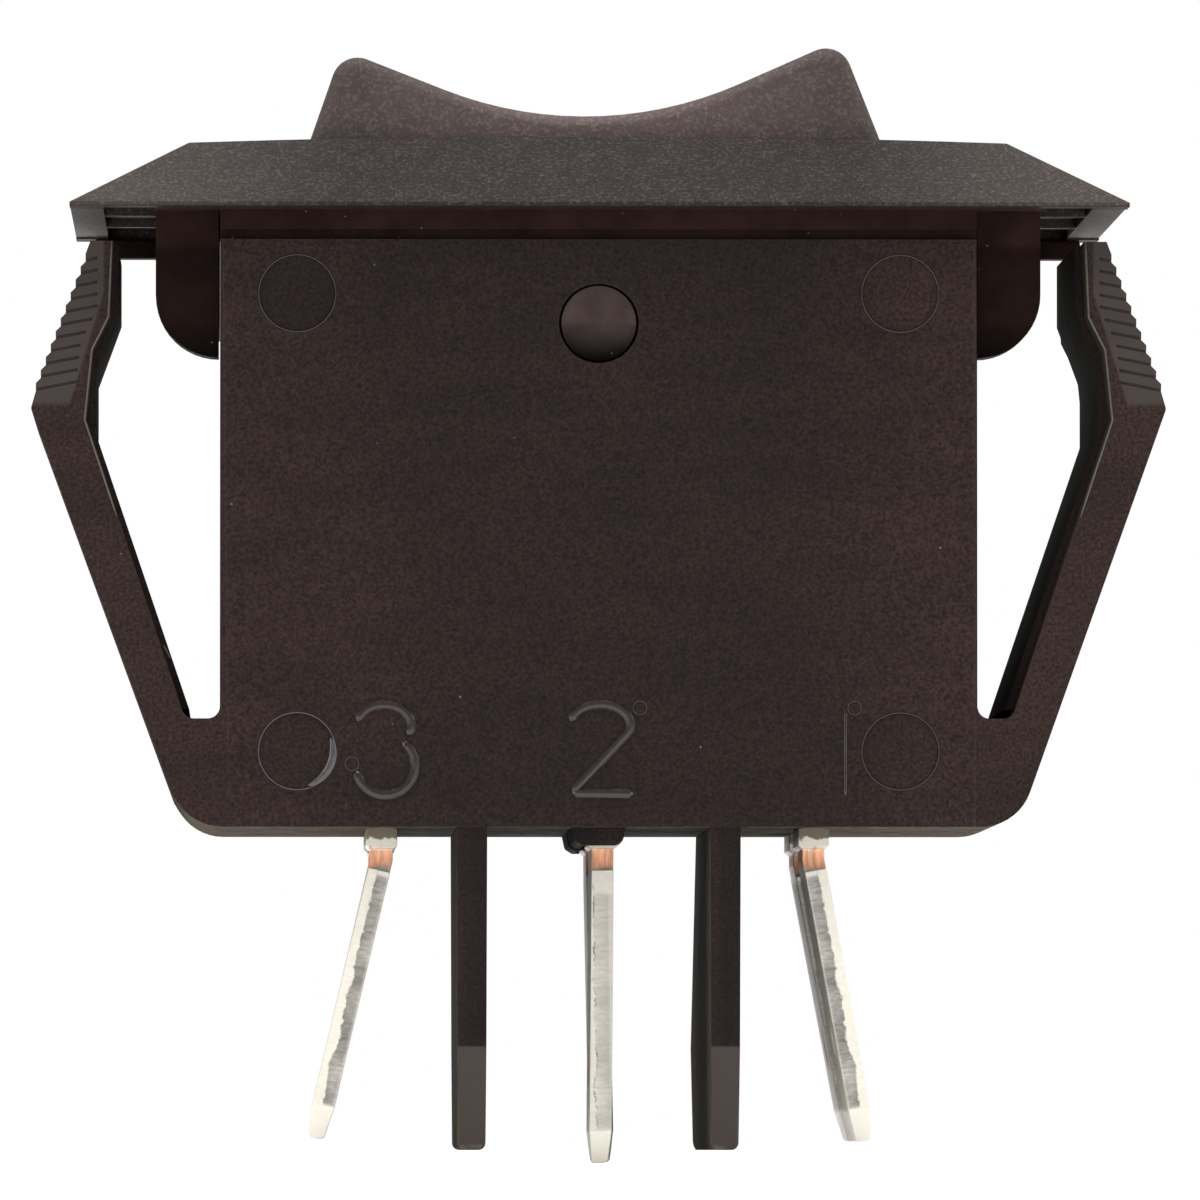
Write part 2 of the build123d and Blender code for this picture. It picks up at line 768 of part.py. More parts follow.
# Terminals: splayed as they are found. Positive splay takes the tip towards +X.
splay = {
    "terminal_1": (terminal_pitch, -pole_offset, 10.3),
    "terminal_2": (0, -pole_offset, 0.8),
    "terminal_3": (-terminal_pitch, -pole_offset, -13.3),
    "terminal_4": (terminal_pitch, pole_offset, 10.6),
    "terminal_5": (0, pole_offset, 2.4),
    "terminal_6": (-terminal_pitch, pole_offset, -13.0),
}
notch_floor = fulcrum_height - notch_floor_gap
notch_half = bar_neck_width / 2 + notch_gap
swage_bottom = housing_bottom - swage_height
bend_height = swage_bottom - neck_height / 2

for name, (x, y, angle) in splay.items():
    in_middle = x == 0
    way = 1 if x > 0 else -1
    stem_top = floor_top if in_middle else foot_top
    length = tab_length + pad_drop if in_middle else tab_length
    with BuildPart() as terminal:
        # The stem through the floor, swaged under it and then notched
        with BuildSketch(Plane.XY.offset(stem_top)):
            with Locations((x, y)):
                Rectangle(tab_thickness, tab_width)
        extrude(amount=swage_bottom - stem_top)
        with BuildSketch(Plane.XY.offset(housing_bottom)):
            with Locations((x, y)):
                Rectangle(swage_thickness, tab_width)
        extrude(amount=-swage_height)
        chamfer(
            terminal.edges().filter_by(Axis.Y).filter_by(
                lambda edge: abs(abs(edge.center().X - x) - swage_thickness / 2) < fit_gap
                and edge.center().Z < housing_bottom - swage_height / 2
            ),
            (swage_thickness - tab_thickness) / 2 - fit_gap,
        )
        with BuildSketch(Plane.XY.offset(swage_bottom)):
            with Locations((x, y)):
                Rectangle(tab_thickness, neck_width)
        extrude(amount=bend_height - swage_bottom)

        # The tab hangs from the bend in the neck, turned by its splay
        lean = radians(angle)
        tab_side = Plane(origin=(x, y, bend_height), x_dir=(0, 1, 0), z_dir=(cos(lean), 0, sin(lean)))
        with BuildSketch(tab_side):
            with BuildLine():
                half = tab_width / 2
                tab_top = -neck_height / 2
                tab_end = tab_top - length
                Polyline(
                    (-neck_width / 2, 0),
                    (neck_width / 2, 0),
                    (neck_width / 2, tab_top),
                    (half, tab_top),
                    (half, tab_end + tip_corner),
                    (half - tip_corner, tab_end),
                    (tip_corner - half, tab_end),
                    (-half, tab_end + tip_corner),
                    (-half, tab_top),
                    (-neck_width / 2, tab_top),
                    close=True,
                )
            make_face()
            with Locations((0, tab_end + tab_hole_inset)):
                Circle(tab_hole_radius, mode=Mode.SUBTRACT)
        extrude(amount=tab_thickness / 2, both=True)

        # Both faces of the tab taper to the tip
        edge_side = Plane(origin=(x, y, bend_height), x_dir=(cos(lean), 0, sin(lean)), z_dir=(0, -1, 0))
        with BuildSketch(edge_side):
            for face_way in (-1, 1):
                with BuildLine():
                    Polyline(
                        (face_way * tab_thickness / 2, tab_end + tip_taper),
                        (face_way * tip_thickness / 2, tab_end),
                        (face_way * tab_thickness, tab_end),
                        (face_way * tab_thickness, tab_end + tip_taper),
                        close=True,
                    )
                make_face()
        extrude(amount=tab_width / 2, both=True, mode=Mode.SUBTRACT)

        # The outside of the bend is round, so that stem and tab meet without a gap
        with BuildSketch(Plane.XZ.offset(-y)):
            with Locations((x, bend_height)):
                Circle(tab_thickness / 2)
        extrude(amount=neck_width / 2, both=True)

        if in_middle:
            # A wide plate stands on the floor, with a notch that carries the contact bar
            with BuildSketch(Plane.YZ.offset(x)):
                with BuildLine():
                    prong_top = fulcrum_height + prong_height
                    Polyline(
                        (y - shoulder_width / 2, floor_top),
                        (y + shoulder_width / 2, floor_top),
                        (y + shoulder_width / 2, prong_top),
                        (y + notch_half, prong_top),
                        (y + notch_half, notch_floor),
                        (y - notch_half, notch_floor),
                        (y - notch_half, prong_top),
                        (y - shoulder_width / 2, prong_top),
                        close=True,
                    )
                make_face()
            extrude(amount=tab_thickness / 2, both=True)
        else:
            # A foot bent outwards lies on the ledge and carries the fixed contact
            foot_middle = x + way * (foot_reach - tab_thickness / 2) / 2
            with BuildSketch(Plane.XY.offset(foot_top)):
                with Locations((foot_middle, y)):
                    Rectangle(foot_reach + tab_thickness / 2, tab_width)
            extrude(amount=-tab_thickness)
            bend_edge = terminal.edges().filter_by(Axis.Y).filter_by(
                lambda edge: abs(edge.center().Z - foot_top) < fit_gap
                and abs(edge.center().X - x + way * tab_thickness / 2) < fit_gap
            )
            fillet(bend_edge, bend_radius)
    terminal.part.label = name
    export_step(terminal.part, "parts/" + name + ".step")
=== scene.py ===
"""A snap-in rocker switch: edges, grain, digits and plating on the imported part, and the stage around it.

Metres. X runs along the switch, Y from its front to its back, and Z points up, out of the panel.
The outlines of the digits, rings and marks are in millimetres.
"""

import json
import math

import bpy
from bpy.props import BoolProperty, FloatProperty, FloatVectorProperty, PointerProperty
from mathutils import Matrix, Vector

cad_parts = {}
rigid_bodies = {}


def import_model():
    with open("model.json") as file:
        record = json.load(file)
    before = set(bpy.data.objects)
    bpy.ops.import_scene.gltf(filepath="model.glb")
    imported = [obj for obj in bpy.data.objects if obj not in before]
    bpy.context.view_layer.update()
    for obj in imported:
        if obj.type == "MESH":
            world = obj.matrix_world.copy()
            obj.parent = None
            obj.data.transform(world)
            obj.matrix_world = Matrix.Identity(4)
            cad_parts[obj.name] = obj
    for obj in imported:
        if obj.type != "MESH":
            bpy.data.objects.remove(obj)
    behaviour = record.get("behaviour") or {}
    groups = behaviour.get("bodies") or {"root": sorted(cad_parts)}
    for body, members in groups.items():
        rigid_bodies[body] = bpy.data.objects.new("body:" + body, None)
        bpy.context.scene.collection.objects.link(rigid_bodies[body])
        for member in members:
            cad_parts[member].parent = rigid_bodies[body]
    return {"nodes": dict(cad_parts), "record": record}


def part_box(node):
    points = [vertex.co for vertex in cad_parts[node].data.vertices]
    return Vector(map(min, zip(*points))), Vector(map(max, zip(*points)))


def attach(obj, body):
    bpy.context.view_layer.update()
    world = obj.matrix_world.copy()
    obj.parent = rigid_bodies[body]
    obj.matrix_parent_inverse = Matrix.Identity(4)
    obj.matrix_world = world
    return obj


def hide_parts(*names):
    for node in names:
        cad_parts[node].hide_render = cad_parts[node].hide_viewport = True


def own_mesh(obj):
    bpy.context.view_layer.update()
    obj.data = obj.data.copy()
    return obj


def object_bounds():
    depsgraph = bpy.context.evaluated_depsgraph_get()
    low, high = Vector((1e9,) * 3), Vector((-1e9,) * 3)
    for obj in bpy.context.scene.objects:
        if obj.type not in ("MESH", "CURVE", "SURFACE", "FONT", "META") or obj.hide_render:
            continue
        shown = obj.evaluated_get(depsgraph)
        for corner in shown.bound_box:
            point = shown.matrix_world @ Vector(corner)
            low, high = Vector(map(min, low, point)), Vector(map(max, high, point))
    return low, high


bl_info = {
    "name": "Rocker Switch",
    "version": (1, 0, 0),
    "blender": (4, 5, 0),
    "location": "3D View > Sidebar > Rocker Switch",
    "description": "Dresses a packed rocker switch in grained nylon and tinned brass, on a pale stage",
    "category": "Object",
}

MM = 0.001
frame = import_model()
cad_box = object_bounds()
tabs = {mount["name"]: mount for mount in frame["record"]["mounts"]}
TERMINALS = ("terminal_1", "terminal_2", "terminal_3", "terminal_4", "terminal_5", "terminal_6")
MIDDLE_TERMINALS = ("terminal_2", "terminal_5")
SMOOTH = math.radians(30.0)

# The front wall and the underside of the housing, and the floor
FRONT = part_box("housing")[0][1]
BOTTOM = -22.43 * MM
FLOOR = cad_box[0][2]

# How far the wings stand back from the front wall
WING_INSET = 0.07 * MM

# The ejector marks on the front wall, in millimetres
MARK_X = 10.95
MARK_TOP = -3.06
MARK_FOOT = -19.69
MARK_RADIUS = 1.4


# Groups of sizes and colours that a user would change


def colour_property(name, description, default):
    """A colour that a user may change."""
    return FloatVectorProperty(name=name, description=description, default=default, subtype="COLOR")


def length_property(name, description, default):
    """A length that a user may change."""
    return FloatProperty(name=name, description=description, default=default, unit="LENGTH")


class MouldingSettings(bpy.types.PropertyGroup):
    """Edges, grain and colours of the mouldings"""

    edge: length_property("Edge radius", "Rounding of the moulded edges", 0.06 * MM)
    housing: colour_property("Housing", "Colour of the housing's nylon", (0.0172, 0.0092, 0.0078))
    bezel: colour_property(
        "Bezel and rocker", "Colour of the bezel's and the rocker's nylon", (0.036, 0.0275, 0.026)
    )
    # Darker than the bezel's nylon: painted shade on the collar and skirts under the flange
    shaded_skirt: colour_property(
        "Skirts", "Colour of the smooth collar and skirts under the flange", (0.0105, 0.0052, 0.0043)
    )
    # Lighter than the housing: painted light on the serrated bevels, and a painted reflection of the table
    # on the barriers' bevelled tips
    highlit: colour_property(
        "Serrations", "Colour of the serrations and of the barriers' tips", (0.044, 0.0345, 0.0315)
    )
    underside: colour_property(
        "Underside", "Colour of the housing's underside, lit from the table", (0.12, 0.1, 0.075)
    )
    trunnion: colour_property(
        "Trunnions", "Colour of the rocker's smooth lower part and its trunnions", (0.042, 0.03, 0.028)
    )
    dust: colour_property("Dust", "Colour of the specks of dust on the housing", (0.13, 0.12, 0.11))
    # A pale colour for the beads that paint a highlight along the wings' inner edges
    wing_edge: colour_property(
        "Wing edges", "Colour of the worn inner edges of the wings", (0.075, 0.067, 0.055)
    )
    grain: length_property("Grain", "Size of the fine grain on the bezel and the rocker", 0.13 * MM)


class TerminalSettings(bpy.types.PropertyGroup):
    """Edges and plating of the terminals"""

    edge: length_property("Edge radius", "Rounding of the sheared edges", 0.04 * MM)
    tin: colour_property("Tin", "Colour of the tin plating", (0.80, 0.765, 0.665))
    torn: colour_property("Torn tin", "Colour of the torn half of the sheared edges", (0.21, 0.2, 0.18))
    copper: colour_property("Copper", "Colour of the bare necks", (0.84, 0.38, 0.22))
    root: colour_property(
        "Roots", "Colour of the terminals where they come out of the housing", (0.16, 0.13, 0.085)
    )


class DigitSettings(bpy.types.PropertyGroup):
    """What stands up on the front wall"""

    stroke: length_property("Stroke", "Width of the strokes of the raised digits", 0.35 * MM)
    relief: length_property("Relief", "Height of the digits above the wall", 0.13 * MM)
    ring: length_property("Ring", "Width of the fine flash lines in rings on the wall", 0.07 * MM)
    # A pale colour that paints the highlight on the lit rim of the lower left ejector mark
    flash: colour_property(
        "Pale flash", "Colour of the flash round the lower left ejector mark", (0.06, 0.052, 0.055)
    )


class WorksSettings(bpy.types.PropertyGroup):
    """Colours of the works inside"""

    nylon: colour_property("Plungers", "Colour of the plungers' natural nylon", (0.68, 0.65, 0.58))
    bar: colour_property("Contact bars", "Colour of the contact bars", (0.52, 0.24, 0.14))
    silver: colour_property("Contacts", "Colour of the contacts' silver", (0.78, 0.77, 0.73))
    steel: colour_property("Springs", "Colour of the springs' wire", (0.42, 0.41, 0.40))


class StageSettings(bpy.types.PropertyGroup):
    """The camera's place and the floor"""

    distance: length_property("Camera distance", "From the camera to the front of the switch", 620 * MM)
    left: length_property(
        "Camera offset", "How far the camera stands to the left of the switch's middle", 12.3 * MM
    )
    floor: colour_property("Floor", "Colour of the floor", (0.86, 0.86, 0.86))
    shadow: BoolProperty(
        name="Shadow", description="Whether the floor shows the switch's shadow", default=True
    )


# Materials


def new_tree(name):
    """A new material with its shader and its Object coordinates."""
    material = bpy.data.materials.new(name)
    material.use_nodes = True
    tree = material.node_tree
    shader = tree.nodes["Principled BSDF"]
    place = tree.nodes.new("ShaderNodeTexCoord").outputs["Object"]
    return material, tree, shader, place


def noise(tree, place, size, detail=3.0, roughness=0.55):
    """Soft noise whose features are about that size, in metres."""
    node = tree.nodes.new("ShaderNodeTexNoise")
    node.inputs["Scale"].default_value = 1.0 / size
    node.inputs["Detail"].default_value = detail
    node.inputs["Roughness"].default_value = roughness
    tree.links.new(place, node.inputs["Vector"])
    return node.outputs["Fac"]


def specks(tree, place, spacing, size):
    """Round specks of about that size, one in each cell of that spacing."""
    node = tree.nodes.new("ShaderNodeTexVoronoi")
    node.inputs["Scale"].default_value = 1.0 / spacing
    tree.links.new(place, node.inputs["Vector"])
    return steps(tree, node.outputs["Distance"], size / spacing / 2, size / spacing / 4)


def stretched(tree, place, scale, turn=(0.0, 0.0, 0.0)):
    """The place turned and scaled. A share below 1 draws a pattern out along its axis."""
    node = tree.nodes.new("ShaderNodeMapping")
    node.inputs["Rotation"].default_value = turn
    node.inputs["Scale"].default_value = scale
    tree.links.new(place, node.inputs["Vector"])
    return node.outputs["Vector"]


def steps(tree, value, start, stop, low=0.0, high=1.0):
    """The value mapped from start..stop to low..high, and held beyond them."""
    node = tree.nodes.new("ShaderNodeMapRange")
    node.inputs["From Min"].default_value = start
    node.inputs["From Max"].default_value = stop
    node.inputs["To Min"].default_value = low
    node.inputs["To Max"].default_value = high
    tree.links.new(value, node.inputs["Value"])
    return node.outputs["Result"]


def combine(tree, operation, first, second):
    """Two values joined by a Math node. A plain number is allowed for either."""
    node = tree.nodes.new("ShaderNodeMath")
    node.operation = operation
    for socket, value in zip(node.inputs, (first, second)):
        if isinstance(value, (int, float)):
            socket.default_value = value
        else:
            tree.links.new(value, socket)
    return node.outputs[0]


def product(tree, first, *others):
    """Values multiplied together."""
    for other in others:
        first = combine(tree, "MULTIPLY", first, other)
    return first


def size_of(tree, value):
    """The value without its sign."""
    return combine(tree, "ABSOLUTE", value, 0.0)


def blend_colours(tree, share, first, second):
    """A colour between two. Each is a colour or a socket."""
    node = tree.nodes.new("ShaderNodeMix")
    node.data_type = "RGBA"
    tree.links.new(share, node.inputs[0])
    for socket, colour in ((node.inputs[6], first), (node.inputs[7], second)):
        if isinstance(colour, bpy.types.NodeSocket):
            tree.links.new(colour, socket)
        else:
            socket.default_value = (*colour, 1.0)
    return node.outputs[2]


def relief(tree, shader, height, depth, strength=1.0):
    """A bump of that depth, in metres."""
    node = tree.nodes.new("ShaderNodeBump")
    node.inputs["Strength"].default_value = strength
    node.inputs["Distance"].default_value = depth
    tree.links.new(height, node.inputs["Height"])
    tree.links.new(node.outputs["Normal"], shader.inputs["Normal"])


def part_of(tree, place, axis):
    """One coordinate of the place."""
    node = tree.nodes.new("ShaderNodeSeparateXYZ")
    tree.links.new(place, node.inputs[0])
    return node.outputs[axis]


def shade_of(colour, share):
    """The colour made lighter or darker."""
    return tuple(min(1.0, channel * share) for channel in colour)


def lie_between(tree, value, low, high, soft):
    """1 where the value lies between two limits, with soft edges."""
    above = steps(tree, value, low - soft, low + soft)
    below = steps(tree, value, high - soft, high + soft, 1.0, 0.0)
    return product(tree, above, below)


def looks_along(tree, axis):
    """How far a face looks along an axis, from -1 to 1."""
    geometry = tree.nodes.new("ShaderNodeNewGeometry")
    return part_of(tree, geometry.outputs["True Normal"], axis)


def tinted(tree, colour, share):
    """The colour made lighter or darker by a value."""
    node = tree.nodes.new("ShaderNodeVectorMath")
    node.operation = "SCALE"
    tree.links.new(colour, node.inputs[0])
    tree.links.new(share, node.inputs["Scale"])
    return node.outputs["Vector"]


def housing_nylon(settings, name, lightness, gloss):
    """Smooth moulded nylon, faintly mottled and dusty, each part of the housing with its own shade, some of
    it painted light and shade.
    """
    material, tree, shader, place = new_tree(name)
    colour = shade_of(settings.housing, lightness)
    drawn = stretched(tree, place, (0.3, 1.0, 1.0))
    mottle = steps(tree, noise(tree, drawn, 1.4 * MM, 4.0, 0.6), 0.35, 0.65)
    ground = blend_colours(tree, mottle, shade_of(colour, 0.84), shade_of(colour, 1.14))
    drift = steps(tree, noise(tree, place, 8.0 * MM, 1.0), 0.4, 0.62, 0.9, 1.04)
    ends = steps(tree, size_of(tree, part_of(tree, place, "X")), 6.0 * MM, 13.5 * MM, 0.84, 1.3)
    fine = steps(tree, noise(tree, place, 0.12 * MM, 2.0), 0.3, 0.7, 0.3, 1.7)
    ground = tinted(tree, ground, product(tree, drift, ends, fine))
    ground = with_marks(tree, place, ground)
    ground = with_serrations(tree, place, ground, mottle, settings.highlit)
    ground = with_barriers(tree, place, ground, mottle, settings)
    # Painted sheen on the wings' inner faces
    ground = with_inner_face_sheen(tree, place, ground, shade_of(settings.underside, 0.25))
    ground = with_underside(tree, place, ground, settings.underside)
    ground = with_dust(tree, place, ground, settings.dust)
    tree.links.new(ground, shader.inputs["Base Color"])

    # The faces at the sides are duller than the front
    front = size_of(tree, looks_along(tree, "Y"))
    dullness = steps(tree, front, 0.2, 0.5, 0.3, 0.0)
    roughness = combine(tree, "ADD", steps(tree, mottle, 0.0, 1.0, 0.48, 0.58), dullness)
    tree.links.new(roughness, shader.inputs["Roughness"])
    tree.links.new(steps(tree, front, 0.2, 0.5, 0.018, gloss), shader.inputs["Specular IOR Level"])
    relief(tree, shader, noise(tree, place, 0.14 * MM, 2.0), 0.006 * MM, 0.5)
    return material


def with_marks(tree, place, ground):
    """The upper left ejector mark is darker than the wall round it, with painted shade, and the upper right
    one lighter, with painted light.
    """
    ahead = steps(tree, looks_along(tree, "Y"), -0.9, -0.8, 1.0, 0.0)
    beneath = combine(tree, "SUBTRACT", part_of(tree, place, "Z"), MARK_TOP * MM)
    for centre, tint in ((-MARK_X, 0.62), (MARK_X, 1.2)):
        beside = combine(tree, "SUBTRACT", part_of(tree, place, "X"), centre * MM)
        span = combine(tree, "ADD", product(tree, beside, beside), product(tree, beneath, beneath))
        span = combine(tree, "SQRT", span, 0.0)
        inside = steps(tree, span, (MARK_RADIUS - 0.03) * MM, (MARK_RADIUS + 0.02) * MM, 1.0, 0.0)
        inside = product(tree, inside, ahead)
        ground = tinted(tree, ground, steps(tree, inside, 0.0, 1.0, 1.0, tint))
    return ground


def with_serrations(tree, place, ground, mottle, colour):
    """The serrated part of each wing is lighter, out from a line that leans with the wing: painted light on
    the serrated bevels.
    """
    line_top, line_top_x = -3.05 * MM, 17.93 * MM
    line_foot, line_foot_x = -7.2 * MM, 19.2 * MM
    last_tooth = -7.1 * MM
    height = part_of(tree, place, "Z")
    limit = steps(tree, height, line_top, line_foot, line_top_x, line_foot_x)
    past = combine(tree, "SUBTRACT", size_of(tree, part_of(tree, place, "X")), limit)
    serrated = steps(tree, past, 0.0, 0.08 * MM)
    serrated = product(tree, serrated, lie_between(tree, height, last_tooth, 0.0, 0.1 * MM))
    highlit = blend_colours(tree, mottle, shade_of(colour, 0.88), shade_of(colour, 1.12))
    return blend_colours(tree, serrated, ground, highlit)


def with_barriers(tree, place, ground, mottle, settings):
    """The barriers are darker than the walls and streaked, with dull flanks lightened by a painted sheen and
    bevelled tips lightened by a painted reflection of the table.
    """
    pitch = 9.2 * MM
    half_wall = 0.9 * MM
    tip = -30.4 * MM
    height = part_of(tree, place, "Z")
    barrier = steps(tree, height, BOTTOM - 0.1 * MM, BOTTOM, 1.0, 0.0)
    beside = combine(tree, "FLOORED_MODULO", part_of(tree, place, "X"), pitch)
    beside = combine(tree, "SUBTRACT", beside, pitch / 2)
    upright = stretched(tree, place, (1.0, 1.0, 0.04))
    streaks = steps(tree, noise(tree, upright, 0.3 * MM, 3.0), 0.35, 0.65, 0.8, 1.2)
    across = steps(tree, beside, -0.55 * MM, 0.2 * MM, 0.9, 0.5)
    wall = tinted(tree, ground, product(tree, streaks, across))

    # Only the barriers' own sides are flanks, not those of the pads between them
    aside = steps(tree, size_of(tree, looks_along(tree, "X")), 0.5, 0.8)
    own = steps(tree, size_of(tree, beside), half_wall - 0.1 * MM, half_wall + 0.1 * MM, 1.0, 0.0)
    # The flanks' lighter colour is a painted sheen, a dim copy of the underside's painted table reflection
    flank_sheen = blend_colours(
        tree, mottle, shade_of(settings.underside, 0.4), shade_of(settings.underside, 0.52)
    )
    wall = blend_colours(tree, product(tree, aside, own), wall, flank_sheen)
    ground = blend_colours(tree, barrier, ground, wall)
    # The bevelled tips get a painted reflection of the table, in the serrations' lighter colour
    tips = steps(tree, height, tip - 0.04 * MM, tip + 0.04 * MM, 1.0, 0.0)
    tips = product(tree, tips, combine(tree, "SUBTRACT", 1.0, aside))
    return blend_colours(tree, tips, ground, shade_of(settings.highlit, 1.3))


def with_inner_face_sheen(tree, place, ground, colour):
    """The wings' inner faces, far from the middle and turned towards it, are dull and a little lighter with
    a painted sheen.
    """
    inward = product(tree, part_of(tree, place, "X"), looks_along(tree, "X"))
    inside = steps(tree, inward, -12.0 * MM, -8.0 * MM, 1.0, 0.0)
    return blend_colours(tree, inside, ground, colour)


def with_underside(tree, place, ground, colour):
    """What looks down is pale in patches, as the table shows in it."""
    down = steps(tree, looks_along(tree, "Z"), -0.8, -0.5, 1.0, 0.0)
    patchy = steps(tree, noise(tree, place, 0.6 * MM, 4.0, 0.7), 0.38, 0.62)
    pale = blend_colours(tree, patchy, shade_of(colour, 0.3), shade_of(colour, 1.15))
    return blend_colours(tree, down, ground, pale)


def with_dust(tree, place, ground, colour):
    """A few round specks of dust, and fewer short hairs that lean."""
    rare = steps(tree, noise(tree, place, 1.3 * MM, 0.0), 0.5, 0.58)
    dust = product(tree, specks(tree, place, 1.2 * MM, 0.1 * MM), rare)
    leaning = stretched(tree, place, (1.0, 1.0, 0.25), (0.0, 0.6, 0.0))
    rare = steps(tree, noise(tree, place, 3.1 * MM, 0.0), 0.56, 0.6)
    hairs = product(tree, specks(tree, leaning, 2.2 * MM, 0.12 * MM), rare)
    return blend_colours(tree, combine(tree, "MAXIMUM", dust, hairs), ground, colour)


def raised_nylon(name, colour):
    """Nylon that is polished where a digit, a ring or an edge bead stands up; in a pale colour it paints
    highlights.
    """
    material, tree, shader, place = new_tree(name)
    mottle = noise(tree, place, 0.2 * MM, 3.0)
    ground = blend_colours(tree, mottle, shade_of(colour, 0.6), shade_of(colour, 1.4))
    tree.links.new(ground, shader.inputs["Base Color"])
    tree.links.new(steps(tree, mottle, 0.3, 0.7, 0.14, 0.26), shader.inputs["Roughness"])
    shader.inputs["Specular IOR Level"].default_value = 0.5
    relief(tree, shader, mottle, 0.008 * MM, 0.4)
    return material


def grained_nylon(settings, name, lightness, middle, contrast, hidden):
    """Nylon with a fine spark-eroded grain, light crumbs on dark ground. Below the flange it is smooth.

    The middle share scales the colour in the middle, as painted light on the rocker; its ends turn olive,
    and hidden is the colour of the smooth part.
    """
    material, tree, shader, place = new_tree(name)
    colour = shade_of(settings.bezel, lightness)
    grain = noise(tree, place, settings.grain, 3.0, 0.65)
    crumbs = steps(tree, grain, 0.5, 0.68)
    ground = shade_of(colour, 1.0 - 0.28 * contrast)
    ground = blend_colours(tree, crumbs, ground, shade_of(colour, 1.0 + contrast))
    depth = 0.13 * contrast
    cloud = steps(tree, noise(tree, place, 0.7 * MM, 2.0), 0.35, 0.65, 1.0 - depth, 1.0 + depth)
    out = size_of(tree, part_of(tree, place, "X"))
    # Painted light: a middle share above 1 lightens the rocker's middle
    centre = steps(tree, out, 2.0 * MM, 8.5 * MM, middle, 1.0)
    ground = tinted(tree, ground, product(tree, cloud, centre))
    olive = (colour[0] * 2.1, colour[1] * 2.25, colour[2] * 2.1)
    olive = blend_colours(tree, crumbs, olive, shade_of(olive, 2.1))
    ends = product(tree, steps(tree, out, 9.5 * MM, 17.5 * MM), 0.7)
    ground = blend_colours(tree, ends, ground, olive)

    # The smooth part has painted shade, darkest at the skirts' feet, with a step above them and a lighter
    # collar
    foot, ledge = -5.6 * MM, -4.2 * MM
    collar_foot = -1.45 * MM
    height = part_of(tree, place, "Z")
    mottle = steps(tree, noise(tree, place, 1.2 * MM), 0.35, 0.65, 0.8, 1.2)
    lower = steps(tree, height, foot, ledge, 0.1, 0.85)
    lower = combine(tree, "ADD", lower, steps(tree, height, ledge, ledge + 0.05 * MM, 0.0, 0.2))
    collar = steps(tree, height, collar_foot, collar_foot + 0.25 * MM, 1.15, 1.9)
    plain = blend_colours(tree, mottle, shade_of(hidden, 0.9), shade_of(hidden, 1.1))
    plain = tinted(tree, plain, product(tree, mottle, lower, collar))
    plain = blend_colours(tree, specks(tree, place, 0.7 * MM, 0.08 * MM), plain, settings.dust)
    above = steps(tree, height, -0.02 * MM, 0.06 * MM)
    tree.links.new(blend_colours(tree, above, plain, ground), shader.inputs["Base Color"])
    tree.links.new(steps(tree, grain, 0.3, 0.7, 0.66, 0.5), shader.inputs["Roughness"])
    tree.links.new(steps(tree, above, 0.0, 1.0, 0.03, 0.12), shader.inputs["Specular IOR Level"])
    bump = product(tree, grain, steps(tree, above, 0.0, 1.0, 0.15, 1.0))
    relief(tree, shader, bump, 0.03 * MM, 0.9)
    return material


